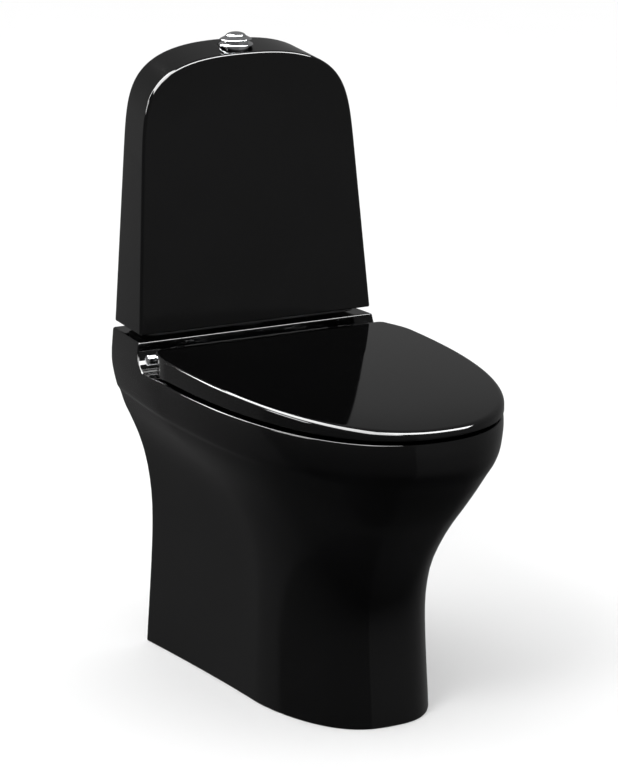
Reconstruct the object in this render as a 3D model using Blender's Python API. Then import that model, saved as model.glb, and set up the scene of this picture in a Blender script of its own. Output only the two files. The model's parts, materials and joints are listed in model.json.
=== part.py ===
"""Close coupled toilet: skirted pan, slim cistern under a one-piece cover, seat, wrap-over lid.

Units are metres, +Z is up, the wall is on the +Y side and the front of the bowl points along -Y.
The origin is on the floor, in the middle of the object's width and of its depth.
Outlines are drawn as (x, reach): reach is the distance from the wall towards the front.
"""

from math import cos, pi, sin
from typing import NamedTuple

import bmesh
import bpy
from mathutils import Matrix, Vector

# ---- overall sizes -------------------------------------------------------------------------
RIM_WIDTH = 0.384            # widest part of the bowl
OVERALL_DEPTH = 0.6160       # wall to the front of the lid
RIM_HEIGHT = 0.424           # floor to the top of the ceramic rim
COVER_WIDTH = 0.3585         # cistern cover, at its bottom front edge
COVER_HEIGHT = 0.380         # cistern cover, bottom edge to the back of its crown
FIT_GAP = 0.0003             # between pieces that touch

# ---- pan -----------------------------------------------------------------------------------
LID_OVERHANG = 0.0025        # lid in front of the rim
RIM_LENGTH = OVERALL_DEPTH - LID_OVERHANG
DECK_RISE = 0.036            # deck that carries the cistern, above the rim
DECK_HEIGHT = RIM_HEIGHT + DECK_RISE
DECK_DEPTH = 0.0995          # wall to the deck's front face
DECK_FILLET = 0.026          # concave sweep from the deck's face down to the rim
SKIRT_SETBACK = 0.012        # skirt stands this far off the wall
SKIRT_WALL = 0.011
RIM_THICKNESS = 0.014
BOWL_WALL = 0.012
DECK_WALL = 0.014
OUTLINE_SIDE_POINTS = 5
OUTLINE_FRONT_POINTS = 12

# ---- bowl and waterway ---------------------------------------------------------------------
BOWL_OPENING_WIDTH = 0.248
BOWL_OPENING_BACK = 0.240    # reach of the opening's back edge
RIM_FRONT_WIDTH = 0.058      # flat rim in front of the opening
TRAP_RADIUS = 0.029
TRAP_WALL = 0.009
OUTLET_RADIUS = 0.042
OUTLET_WALL = 0.009
OUTLET_HEIGHT = 0.185
OUTLET_END = 0.006           # reach of the spigot's end
FLUSH_INLET_RADIUS = 0.0345
FLUSH_DUCT_RADIUS = 0.020
FLUSH_DUCT_DROP = 0.033      # duct centre below the rim

# ---- cistern -------------------------------------------------------------------------------
COVER_GAP = 0.0097           # deck to the cover's bottom edge
COVER_BASE = DECK_HEIGHT + COVER_GAP
COVER_DEPTH = 0.0990         # at the bottom edge
COVER_LEAN = 0.079           # front face leans back, metres per metre
COVER_TAPER = 0.068          # each side leans in, metres per metre
COVER_REAR_INSET = 0.0078    # rear outline is this much narrower on each side
COVER_FRONT_DROP = 0.0095    # front crown below the rear crown
COVER_ARCH = 0.176           # height over which the sides curve into the crown
COVER_WALL = 0.008
COVER_EDGE = 0.004
COVER_REACH = 0.001          # reach of the cover's rear edge
TANK_CLEARANCE = 0.0035      # tank to the inside of the cover
TANK_WALL = 0.003
TANK_FLOOR = 0.005
TANK_HEIGHT = 0.288
TANK_LIFT = 0.0042           # tank floor above the deck, filled by the gasket
TANK_REACH = 0.0125
VALVE_REACH = 0.0420         # flush valve's axis
BOLT_SPACING = 0.150         # between the two tank bolts
BOLT_RADIUS = 0.0039
BOLT_HOLE_RADIUS = 0.0052
FILL_OFFSET = 0.108          # fill valve's axis, to the right of the middle
FILL_SHANK_RADIUS = 0.0100
FILL_HOLE_RADIUS = 0.0125

# ---- flush and fill valves -------------------------------------------------------------------
TANK_BOTTOM = DECK_HEIGHT + TANK_LIFT
TAIL_RADIUS = 0.0240         # threaded tail of the flush valve
TAIL_BORE = 0.0170
FLANGE_RADIUS = 0.0262
CAGE_RADIUS = 0.0235
CAGE_POST = 0.0012           # half the side of a cage post
TUBE_RADIUS = 0.0130         # lifting overflow tube
TUBE_WALL = 0.0020
SEAL_RADIUS = 0.0198
VALVE_TOP = TANK_BOTTOM + TANK_FLOOR + 0.235
TUBE_TOP = VALVE_TOP + 0.022
PIN_RADIUS = 0.0012
PIN_BORE = PIN_RADIUS + 0.0003
HUB_RADIUS = 0.0030
PIVOT_X = 0.0300
PIVOT_HEIGHT = VALVE_TOP + 0.0080
ROCKER_WIDTH = 0.0100
ROCKER_HALF = 0.0012         # half a rocker's thickness
PRESS_ARM = 0.0105           # pivot to the end under the push rod
LIFT_ARM = 0.0165            # pivot to the end under the lifting lug
ROD_X = PIVOT_X + 0.0080
LIFT_LUG_X = 0.0185
LIFT_GAP = 0.0006            # rocker to the lug that it lifts
LIFT_LUG_LOW = PIVOT_HEIGHT + ROCKER_HALF + LIFT_GAP
FILL_COLUMN_RADIUS = 0.0090
FILL_HEAD_RADIUS = 0.0185
FLOAT_RADIUS = 0.0260
ARM_PIVOT = 0.0245           # fill valve's axis to the float lever's pin
ARM_LENGTH = 0.0130
ARM_HALF = 0.0028            # half the lever's thickness

# ---- flush controls ------------------------------------------------------------------------
BUTTON_REACH = 0.038
BUTTON_TRAVEL = 0.004
BUTTON_SEAT = COVER_BASE + COVER_HEIGHT - 0.0045   # flat that the collar sits on
COLLAR_RADIUS = 0.0240
SLEEVE_RADIUS = 0.0185
SLEEVE_WALL = 0.0015
BRIM_RADIUS = 0.0222
DOME_RADIUS = 0.0138
RUN_GAP = 0.0006             # between sliding pieces

# ---- seat, lid and hinge -------------------------------------------------------------------
HINGE_REACH = 0.121
HINGE_HEIGHT = RIM_HEIGHT + 0.016
BAR_RADIUS = 0.0075
BAR_BORE = 0.0055
BAR_HALF = 0.1640
CAP_LENGTH = 0.0165
LUG_RADIUS = 0.0115
LUG_BORE = BAR_RADIUS + 0.0005
POST_SPACING = 0.155         # between the two fixing holes
POST_WIDTH = 0.018
SEAT_LUG_X = 0.108
LID_LUG_X = 0.131
LUG_WIDTH = 0.014
POST_REACH = HINGE_REACH + 0.010
POST_FOOT_RADIUS = 0.0120
POST_HOLE_RADIUS = 0.0055
STUD_RADIUS = 0.0039
STUD_BORE = STUD_RADIUS + 0.0004
SEAT_GAP = 0.0030            # rim to the underside of the seat
SEAT_INSET = 0.0085          # seat inside the rim's outline
SEAT_BACK = 0.1420
SEAT_FRONT_THICKNESS = 0.0070
SEAT_OPENING_WIDTH = 0.228
SEAT_OPENING_BACK = 0.250
SEAT_FRONT_WIDTH = 0.066
LID_INSET = 0.0015           # lid inside the rim's outline
LID_BACK = 0.1360
LID_WALL = 0.0045
LID_EDGE = 0.0030
LID_HEM = 0.0065             # rim to the bottom of the lid's sides
LID_REAR_HEIGHT = 0.0335     # lid's top edge above the rim, at its back
LID_FRONT_HEIGHT = 0.0160    # the same at its front
LID_CROWN = 0.0020
LID_SEAT_GAP = 0.0012
LID_CORNER = 0.014           # round rear corners
SEAT_BEVEL = 0.016           # dished edge around the opening
SEAT_BEVEL_START = 0.0155    # its lower edge above the rim
BUFFER_RADIUS = 0.009

WALL_Y = OVERALL_DEPTH / 2
CUT_MARGIN = 0.02


class Section(NamedTuple):
    """One level of the pan: insets from the rim outline, and the shape of its front curve."""

    rear_inset: float
    side_inset: float
    front_inset: float
    setback: float
    curve_start: float
    side_power: float
    front_power: float


# Heights are measured down from the rim, apart from the foot, which is on the floor.
UPPER_SECTIONS = (
    (0.000, Section(0.0152, 0.0000, 0.0025, 0.0000, 0.158, 2.24, 3.08)),
    (0.014, Section(0.0160, 0.0008, 0.0005, 0.0006, 0.160, 2.24, 3.05)),
    (0.029, Section(0.0182, 0.0035, 0.0000, 0.0017, 0.165, 2.24, 3.00)),
    (0.044, Section(0.0215, 0.0070, 0.0010, 0.0030, 0.172, 2.25, 2.90)),
    (0.058, Section(0.0260, 0.0130, 0.0060, 0.0045, 0.182, 2.26, 2.80)),
    (0.074, Section(0.0315, 0.0220, 0.0165, 0.0065, 0.200, 2.28, 2.65)),
    (0.094, Section(0.0405, 0.0350, 0.0290, 0.0090, 0.225, 2.32, 2.45)),
    (0.119, Section(0.0505, 0.0500, 0.0475, 0.0110, 0.255, 2.38, 2.20)),
    (0.149, Section(0.0595, 0.0630, 0.0735, 0.0120, 0.280, 2.45, 1.95)),
    (0.184, Section(0.0660, 0.0725, 0.1015, 0.0120, 0.298, 2.55, 1.75)),
    (0.224, Section(0.0693, 0.0780, 0.1265, 0.0120, 0.308, 2.62, 1.62)),
    (0.284, Section(0.0682, 0.0795, 0.1415, 0.0120, 0.309, 2.68, 1.57)),
)
FOOT_SECTION = Section(0.0588, 0.0760, 0.1323, 0.0120, 0.309, 2.69, 1.57)
DECK_REAR_INSET = 0.0185
DECK_SIDE_INSET = 0.003

CERAMIC = (0.006, 0.006, 0.007)
BLACK_RESIN = (0.008, 0.008, 0.009)
CHROME = (0.78, 0.79, 0.80)
WHITE_PLASTIC = (0.75, 0.76, 0.77)
GREY_PLASTIC = (0.30, 0.31, 0.33)
BLUE_PLASTIC = (0.10, 0.22, 0.42)
RUBBER = (0.02, 0.02, 0.02)
BRASS = (0.62, 0.47, 0.22)


# ---- scene and mesh helpers ----------------------------------------------------------------
def clear_scene() -> None:
    """Remove every object of the scene."""
    for item in list(bpy.data.objects):
        bpy.data.objects.remove(item, do_unlink=True)


def material(name: str, colour, roughness: float, metallic: float):
    """Make or fetch a plain Principled material."""
    found = bpy.data.materials.get(name)
    if found:
        return found
    made = bpy.data.materials.new(name)
    made.use_nodes = True
    shader = made.node_tree.nodes["Principled BSDF"]
    shader.inputs["Base Color"].default_value = (*colour, 1.0)
    shader.inputs["Roughness"].default_value = roughness
    shader.inputs["Metallic"].default_value = metallic
    return made


def ceramic():
    return material("glazed_ceramic", CERAMIC, 0.08, 0.0)


def resin():
    return material("gloss_resin", BLACK_RESIN, 0.10, 0.0)


def chrome():
    return material("chrome", CHROME, 0.06, 1.0)


def white_plastic():
    return material("white_plastic", WHITE_PLASTIC, 0.45, 0.0)


def black_plastic():
    return material("black_plastic", RUBBER, 0.50, 0.0)


def grey_plastic():
    return material("grey_plastic", GREY_PLASTIC, 0.50, 0.0)


def blue_plastic():
    return material("blue_plastic", BLUE_PLASTIC, 0.45, 0.0)


def rubber():
    return material("rubber", RUBBER, 0.80, 0.0)


def brass():
    return material("brass", BRASS, 0.30, 1.0)


def place(x: float, reach: float, z: float) -> Vector:
    """Turn a width, a reach from the wall and a height into a point."""
    return Vector((x, WALL_Y - reach, z))


def add_object(name: str, mesh_builder, finish=None):
    """Make an object from a filled bmesh."""
    bmesh.ops.recalc_face_normals(mesh_builder, faces=mesh_builder.faces)
    mesh = bpy.data.meshes.new(name)
    mesh_builder.to_mesh(mesh)
    mesh_builder.free()
    mesh.shade_smooth()
    mesh.set_sharp_from_angle(angle=0.6)
    item = bpy.data.objects.new(name, mesh)
    bpy.context.scene.collection.objects.link(item)
    if finish:
        mesh.materials.append(finish)
    return item


def loft(name: str, rings, finish=None):
    """Skin a list of closed rings of points, each with the same count, and cap both ends."""
    builder = bmesh.new()
    loops = [[builder.verts.new(point) for point in ring] for ring in rings]
    count = len(loops[0])
    for lower, upper in zip(loops, loops[1:]):
        for i in range(count):
            j = (i + 1) % count
            builder.faces.new((lower[i], lower[j], upper[j], upper[i]))
    builder.faces.new(list(reversed(loops[0])))
    builder.faces.new(loops[-1])
    return add_object(name, builder, finish)


def turned(name: str, profile, centre: Vector, finish=None, steps: int = 16, axis: str = "Z"):
    """Spin a closed profile of (radius, height) points about an axis through centre."""
    builder = bmesh.new()
    verts = [builder.verts.new((radius, 0.0, height)) for radius, height in profile]
    edges = [builder.edges.new((a, b)) for a, b in zip(verts, verts[1:])]
    if profile[0][0] > 0.0 and profile[-1][0] > 0.0:
        edges.append(builder.edges.new((verts[-1], verts[0])))
    bmesh.ops.spin(builder, geom=verts + edges, cent=(0, 0, 0), axis=(0, 0, 1),
                   angle=2 * pi, steps=steps, use_merge=True)
    bmesh.ops.remove_doubles(builder, verts=builder.verts, dist=0.00001)
    turn = Matrix.Rotation(pi / 2, 4, "Y") if axis == "X" else Matrix.Identity(4)
    turn = Matrix.Rotation(-pi / 2, 4, "X") if axis == "Y" else turn
    bmesh.ops.transform(builder, matrix=Matrix.Translation(centre) @ turn, verts=builder.verts)
    return add_object(name, builder, finish)


def rod(name: str, radius: float, low: float, high: float, centre: Vector, finish=None,
        steps: int = 16, axis: str = "Z"):
    """A solid round bar between two heights along its axis."""
    profile = [(0.0, low), (radius, low), (radius, high), (0.0, high)]
    return turned(name, profile, centre, finish, steps, axis)


def tube(name: str, inner: float, outer: float, low: float, high: float, centre: Vector,
         finish=None, steps: int = 16, axis: str = "Z"):
    """A round tube between two heights along its axis."""
    profile = [(inner, low), (outer, low), (outer, high), (inner, high)]
    return turned(name, profile, centre, finish, steps, axis)


def block(name: str, x_range, reach_range, z_range, finish=None):
    """A box between two corners."""
    builder = bmesh.new()
    bmesh.ops.create_cube(builder, size=1.0)
    sides = (x_range[1] - x_range[0], reach_range[1] - reach_range[0], z_range[1] - z_range[0])
    middle = place(sum(x_range) / 2, sum(reach_range) / 2, sum(z_range) / 2)
    scale = Matrix.Diagonal((*sides, 1.0))
    bmesh.ops.transform(builder, matrix=Matrix.Translation(middle) @ scale, verts=builder.verts)
    return add_object(name, builder, finish)


def combine(target, tool, operation: str) -> None:
    """Apply an exact Boolean of tool on target, and remove the tool."""
    modifier = target.modifiers.new("combine", "BOOLEAN")
    modifier.object = tool
    modifier.operation = operation
    modifier.solver = "EXACT"
    evaluated = target.evaluated_get(bpy.context.evaluated_depsgraph_get())
    mesh = bpy.data.meshes.new_from_object(evaluated)
    mesh.name = target.name
    target.modifiers.clear()
    target.data = mesh
    bpy.data.objects.remove(tool, do_unlink=True)


def cut(target, tool) -> None:
    """Remove the tool's volume from the target."""
    combine(target, tool, "DIFFERENCE")


def join(target, tool) -> None:
    """Add the tool's volume to the target."""
    combine(target, tool, "UNION")


def hex_profile_nut(name: str, across: float, bore: float, low: float, high: float,
                    centre: Vector, finish, steps: int = 12):
    """A hexagonal nut with a round bore."""
    nut = rod(name, across / (2 * cos(pi / 6)), low, high, centre, finish, 6)
    cut(nut, rod("bore", bore, low - CUT_MARGIN, high + CUT_MARGIN, centre, None, steps))
    return nut


# ---- outlines ------------------------------------------------------------------------------
def pan_outline(section: Section, grow: float = 0.0, rear=None):
    """Plan of the pan at one level, from the left rear corner round the front to the right."""
    half = RIM_WIDTH / 2 - section.side_inset + grow
    rear_half = RIM_WIDTH / 2 - section.rear_inset + grow
    front = RIM_LENGTH + 0.0005 - section.front_inset + grow
    back = section.setback if rear is None else rear
    start = section.curve_start
    side = []
    for i in range(OUTLINE_SIDE_POINTS):
        t = i / OUTLINE_SIDE_POINTS
        side.append((half + (rear_half - half) * (1 - t) ** 1.5, back + (start - back) * t))
    for i in range(OUTLINE_FRONT_POINTS + 1):
        u = pi / 2 * i / OUTLINE_FRONT_POINTS
        x = half * max(cos(u), 0.0) ** (2 / section.side_power)
        side.append((x, start + (front - start) * sin(u) ** (2 / section.front_power)))
    side[-1] = (0.0, front)
    left = [(-x, reach) for x, reach in side]
    right = [(x, reach) for x, reach in reversed(side[:-1])]
    return left + right


def level(outline, z: float):
    """Lift an outline to a height."""
    return [place(x, reach, z) for x, reach in outline]


def oval(half_width: float, back: float, front: float, power: float = 2.2, count: int = 24):
    """A rounded oval in plan between two reaches."""
    middle = (back + front) / 2
    half_length = (front - back) / 2
    points = []
    for i in range(count):
        u = 2 * pi * i / count
        c = cos(u)
        s = sin(u)
        x = -half_width * abs(s) ** (2 / power) * (1 if s >= 0 else -1)
        points.append((x, middle - half_length * abs(c) ** (2 / power) * (1 if c >= 0 else -1)))
    return points


def cover_outline(half_width: float, base: float, crown: float, taper: float, inset: float = 0.0,
                  side_points: int = 4, arch_points: int = 10, floor=None):
    """Front view of the cistern: tapered sides that curve into a shallow crown, as (x, z)."""
    top = crown - inset
    spring = crown - COVER_ARCH
    bottom = base if floor is None else floor
    right = []
    for i in range(side_points):
        z = bottom + (spring - bottom) * i / side_points
        right.append((half_width - inset - taper * (z - base), z))
    for i in range(arch_points + 1):
        u = pi / 2 * i / arch_points
        z = spring + (top - spring) * sin(u) ** (2 / 5.5)
        spread = max(cos(u), 0.0) ** (2 / 2.54)
        right.append(((half_width - inset - taper * (z - base)) * spread, z))
    right[-1] = (0.0, top)
    left = [(-x, z) for x, z in reversed(right[:-1])]
    return right + left


def cover_front_reach(z: float, inset: float = 0.0) -> float:
    """Reach of the cover's leaning front face at a height."""
    return COVER_DEPTH - COVER_LEAN * (z - COVER_BASE) - inset


# ---- pan -----------------------------------------------------------------------------------
def outer_rings(grow: float, bottom: float, top: float, rear=None):
    """Levels of the pan's outer skin between two heights."""
    rings = []
    foot_top = RIM_HEIGHT - UPPER_SECTIONS[-1][0]
    blend_steps = 3
    for i in range(blend_steps):
        t = i / blend_steps
        z = foot_top * t
        if bottom <= 0.0:
            mixed = Section(*[a + (b - a) * t for a, b in zip(FOOT_SECTION, UPPER_SECTIONS[-1][1])])
            rings.append(level(pan_outline(mixed, grow, rear), z if i else bottom))
    for drop, section in reversed(UPPER_SECTIONS):
        z = RIM_HEIGHT - drop
        if bottom <= z <= top:
            rings.append(level(pan_outline(section, grow, rear), z))
    return rings


def deck_cutter():
    """Volume above the rim and in front of the deck, with the concave sweep between them."""
    steps = 6
    profile = [(DECK_DEPTH, DECK_HEIGHT + CUT_MARGIN), (DECK_DEPTH, RIM_HEIGHT + DECK_FILLET)]
    for i in range(1, steps + 1):
        u = pi / 2 * i / steps
        reach = DECK_DEPTH + DECK_FILLET * (1 - cos(u))
        profile.append((reach, RIM_HEIGHT + DECK_FILLET * (1 - sin(u))))
    profile.append((OVERALL_DEPTH + CUT_MARGIN, RIM_HEIGHT))
    profile.append((OVERALL_DEPTH + CUT_MARGIN, DECK_HEIGHT + CUT_MARGIN))
    sides = (-RIM_WIDTH, RIM_WIDTH)
    return loft("deck_cutter", [[place(x, r, z) for r, z in profile] for x in sides])


def bowl_rings(grow: float):
    """Levels of the bowl's inside, from below the sump to above the rim."""
    half = BOWL_OPENING_WIDTH / 2
    front = RIM_LENGTH - RIM_FRONT_WIDTH
    back = BOWL_OPENING_BACK
    shape = (
        (0.244, 0.092, 0.100, 0.206),
        (0.214, 0.084, 0.078, 0.172),
        (0.169, 0.060, 0.052, 0.110),
        (0.119, 0.034, 0.026, 0.050),
        (0.069, 0.012, 0.006, 0.014),
        (0.030, 0.002, 0.000, 0.002),
        (0.000, 0.000, 0.000, 0.000),
    )
    rings = []
    for drop, side_in, back_in, front_in in shape:
        outline = oval(half - side_in + grow, back + back_in - grow, front - front_in + grow)
        rings.append(level(outline, RIM_HEIGHT - drop))
    floor = [point - Vector((0, 0, grow)) for point in rings[0]]
    roof = [point + Vector((0, 0, CUT_MARGIN)) for point in rings[-1]]
    if grow == 0.0:
        return rings + [roof]
    lowered = [floor] + rings[1:-1]
    return lowered + [[point - Vector((0, 0, BOWL_WALL / 2)) for point in rings[-1]]]


def trap_path():
    """Centre line of the trapway as (reach, z), from the sump over the weir to the outlet."""
    below_rim = (
        (0.350, 0.212), (0.334, 0.242), (0.298, 0.264), (0.258, 0.256), (0.228, 0.222),
        (0.206, 0.184), (0.176, 0.160), (0.142, 0.166),
    )
    path = [Vector((reach, RIM_HEIGHT - drop)) for reach, drop in below_rim]
    fall = path[-1].y - OUTLET_HEIGHT
    path += [Vector((0.116, OUTLET_HEIGHT + 0.59 * fall)), Vector((0.096, OUTLET_HEIGHT + 0.20 * fall))]
    return path + [Vector((0.068, OUTLET_HEIGHT)), Vector((0.036, OUTLET_HEIGHT))]


def trap_rings(extra: float, end: float):
    """Round sections along the trapway, opening out to the outlet's bore."""
    path = trap_path() + [Vector((end, OUTLET_HEIGHT))]
    around = 12
    rings = []
    for i, point in enumerate(path):
        before = path[max(i - 1, 0)]
        after = path[min(i + 1, len(path) - 1)]
        along = (after - before).normalized()
        normal = Vector((-along.y, along.x))
        widen = min(max((i - 7) / 3, 0.0), 1.0)
        radius = TRAP_RADIUS + (OUTLET_RADIUS - TRAP_RADIUS) * widen + extra
        ring = []
        for k in range(around):
            u = 2 * pi * k / around
            spot = point + normal * (radius * sin(u))
            ring.append(place(radius * cos(u), spot.x, spot.y))
        rings.append(ring)
    return rings


def make_pan():
    """Skirted back-to-wall pan: skin, hollow pedestal, bowl, trapway, outlet and fixing holes."""
    rings = outer_rings(0.0, 0.0, RIM_HEIGHT)
    rim = UPPER_SECTIONS[0][1]
    deck = rim._replace(rear_inset=DECK_REAR_INSET, side_inset=rim.side_inset + DECK_SIDE_INSET)
    rings.append(level(pan_outline(deck), DECK_HEIGHT))
    pan = loft("pan", rings, ceramic())
    cut(pan, deck_cutter())
    shelf = RIM_HEIGHT - 0.094
    low = outer_rings(-SKIRT_WALL, -CUT_MARGIN, shelf, -CUT_MARGIN)
    cut(pan, loft("void", low))
    high = outer_rings(-SKIRT_WALL, shelf - 0.001, RIM_HEIGHT - RIM_THICKNESS + 0.0001, DECK_WALL)
    cut(pan, loft("upper_void", [[p - Vector((0, 0, 0.003)) for p in high[0]]] + high))
    duct_height = RIM_HEIGHT - FLUSH_DUCT_DROP
    deck_room = block("deck_room", (-0.150, 0.150), (DECK_WALL, DECK_DEPTH - DECK_WALL),
                      (RIM_HEIGHT - 0.030, DECK_HEIGHT - DECK_WALL))
    cut(pan, deck_room)
    axis = place(0, VALVE_REACH, 0)
    inlet_outer = FLUSH_INLET_RADIUS + 0.006
    join(pan, rod("inlet_wall", inlet_outer, duct_height - 0.030, DECK_HEIGHT - 0.004, axis, None, 20))
    duct_start = place(0, 0, duct_height)
    duct_out = FLUSH_DUCT_RADIUS + 0.006
    join(pan, rod("duct_wall", duct_out, -(BOWL_OPENING_BACK + 0.002), -0.030, duct_start, None, 16, "Y"))
    join(pan, loft("bowl_wall", bowl_rings(BOWL_WALL)))
    join(pan, loft("trap_wall", trap_rings(TRAP_WALL, OUTLET_END)))
    cut(pan, loft("bowl", bowl_rings(0.0)))
    cut(pan, loft("trapway", trap_rings(0.0, OUTLET_END - CUT_MARGIN)))
    cut(pan, rod("inlet", FLUSH_INLET_RADIUS, duct_height - 0.020, DECK_HEIGHT + CUT_MARGIN, axis, None, 20))
    duct_end = -(BOWL_OPENING_BACK + 0.030)
    cut(pan, rod("duct", FLUSH_DUCT_RADIUS, duct_end, -VALVE_REACH, duct_start, None, 16, "Y"))
    for side in (-1, 1):
        bolt = place(side * BOLT_SPACING / 2, VALVE_REACH, 0)
        cut(pan, rod("bolt_hole", BOLT_HOLE_RADIUS, RIM_HEIGHT, DECK_HEIGHT + CUT_MARGIN, bolt, None, 12))
        foot = place(side * POST_SPACING / 2, POST_REACH, 0)
        cut(pan, rod("post_hole", POST_HOLE_RADIUS, RIM_HEIGHT - 0.05, RIM_HEIGHT + 0.01, foot, None, 12))
        cut(pan, rod("post_flat", POST_FOOT_RADIUS + 0.0015, RIM_HEIGHT, RIM_HEIGHT + 0.02, foot, None, 16))
    shank = place(FILL_OFFSET, VALVE_REACH, 0)
    cut(pan, rod("shank_hole", FILL_HOLE_RADIUS, RIM_HEIGHT, DECK_HEIGHT + CUT_MARGIN, shank, None, 16))
    return pan


# ---- cistern -------------------------------------------------------------------------------
def cover_solid(name: str, inset: float, floor: float, edge: float, finish=None):
    """The cover's outer shape, or its inside when inset is a wall thickness."""
    crown = COVER_BASE + COVER_HEIGHT
    half = COVER_WIDTH / 2
    rear = cover_outline(half - COVER_REAR_INSET, COVER_BASE, crown, COVER_TAPER, inset, floor=floor)
    front_crown = crown - COVER_FRONT_DROP
    front = cover_outline(half, COVER_BASE, front_crown, COVER_TAPER, inset, floor=floor)
    slim = cover_outline(half, COVER_BASE, front_crown, COVER_TAPER, inset + edge, floor=floor)
    near = COVER_REACH + (inset if inset else 0.0)
    rings = [[place(x, near, z) for x, z in rear]]
    rings.append([place(x, cover_front_reach(z, inset + edge), z) for x, z in front])
    if edge:
        middle = [((a[0] + 2 * b[0]) / 3, (a[1] + 2 * b[1]) / 3) for a, b in zip(slim, front)]
        rings.append([place(x, cover_front_reach(z, inset + edge * 0.3), z) for x, z in middle])
        rings.append([place(x, cover_front_reach(z, inset), z) for x, z in slim])
    return loft(name, rings, finish)


def make_cover():
    """One-piece ceramic cistern cover, open underneath, with a flat for the flush button."""
    cover = cover_solid("cistern_cover", 0.0, COVER_BASE, COVER_EDGE, ceramic())
    cut(cover, cover_solid("cover_room", COVER_WALL, COVER_BASE - CUT_MARGIN, 0.0))
    axis = place(0, BUTTON_REACH, 0)
    seat = BUTTON_SEAT
    cut(cover, rod("button_flat", COLLAR_RADIUS + 0.0012, seat, seat + 0.05, axis, None, 24))
    cut(cover, rod("button_hole", SLEEVE_RADIUS + 0.001, seat - 0.05, seat + 0.05, axis, None, 24))
    return cover


def tank_outline(inset: float, z: float):
    """Plan of the tank at one height, following the inside of the cover."""
    half = COVER_WIDTH / 2 - COVER_REAR_INSET - COVER_WALL - TANK_CLEARANCE - inset
    half -= COVER_TAPER * (z - COVER_BASE)
    front = cover_front_reach(z, COVER_WALL + TANK_CLEARANCE + inset)
    back = TANK_REACH + inset
    radius = 0.012 - inset
    points = []
    corners = ((-half, back, -pi / 2), (-half, front, pi), (half, front, pi / 2), (half, back, 0.0))
    for x, reach, start in corners:
        centre_x = x + radius * (1 if x < 0 else -1)
        centre_r = reach + radius * (1 if reach == back else -1)
        for k in range(4):
            u = start - pi / 2 * k / 3
            points.append((centre_x + radius * cos(u), centre_r + radius * sin(u)))
    return points


def make_tank():
    """Plastic inner tank, open at the top, with holes for the valves and the tank bolts."""
    bottom = TANK_BOTTOM
    top = bottom + TANK_HEIGHT
    rings = [level(tank_outline(0.0, z), z) for z in (bottom, (bottom + top) / 2, top)]
    tank = loft("inner_tank", rings, black_plastic())
    inner = (bottom + TANK_FLOOR, (bottom + top) / 2, top + CUT_MARGIN)
    cut(tank, loft("tank_room", [level(tank_outline(TANK_WALL, z), z) for z in inner]))
    low = bottom - CUT_MARGIN
    high = bottom + CUT_MARGIN
    cut(tank, rod("valve_hole", TAIL_RADIUS + 0.001, low, high, place(0, VALVE_REACH, 0), None, 20))
    for side in (-1, 1):
        bolt = place(side * BOLT_SPACING / 2, VALVE_REACH, 0)
        cut(tank, rod("bolt_hole", BOLT_HOLE_RADIUS, low, high, bolt, None, 12))
    shank = place(FILL_OFFSET, VALVE_REACH, 0)
    cut(tank, rod("shank_hole", FILL_SHANK_RADIUS + 0.001, low, high, shank, None, 16))
    return tank


def make_tank_fixings() -> None:
    """Gasket between tank and deck, and the two bolts with rubber washers and wing nuts."""
    axis = place(0, VALVE_REACH, 0)
    low = DECK_HEIGHT + FIT_GAP
    high = TANK_BOTTOM - FIT_GAP
    tube("tank_gasket", FLUSH_INLET_RADIUS + 0.001, 0.0405, low, high, axis, rubber(), 20)
    seat = TANK_BOTTOM + TANK_FLOOR
    under = DECK_HEIGHT - DECK_WALL
    for side, label in ((-1, "left"), (1, "right")):
        spot = place(side * BOLT_SPACING / 2, VALVE_REACH, 0)
        washer_top = seat + FIT_GAP + 0.002
        tube(f"tank_washer_{label}", BOLT_RADIUS + 0.0004, 0.011, seat + FIT_GAP, washer_top,
             spot, rubber(), 16)
        head = washer_top + FIT_GAP
        profile = [(0.0, under - 0.022), (BOLT_RADIUS, under - 0.022), (BOLT_RADIUS, head),
                   (0.0085, head), (0.0085, head + 0.003), (0.005, head + 0.005), (0.0, head + 0.005)]
        turned(f"tank_bolt_{label}", profile, spot, brass(), 16)
        nut_top = under - FIT_GAP
        nut = rod(f"tank_wing_nut_{label}", 0.009, nut_top - 0.010, nut_top, spot, white_plastic(), 12)
        wings = block("wings", (spot.x - 0.019, spot.x + 0.019), (VALVE_REACH - 0.002, VALVE_REACH + 0.002),
                      (nut_top - 0.014, nut_top - 0.003))
        join(nut, wings)
        cut(nut, rod("bore", BOLT_RADIUS + 0.0004, nut_top - 0.05, nut_top + 0.01, spot, None, 12))


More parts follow.
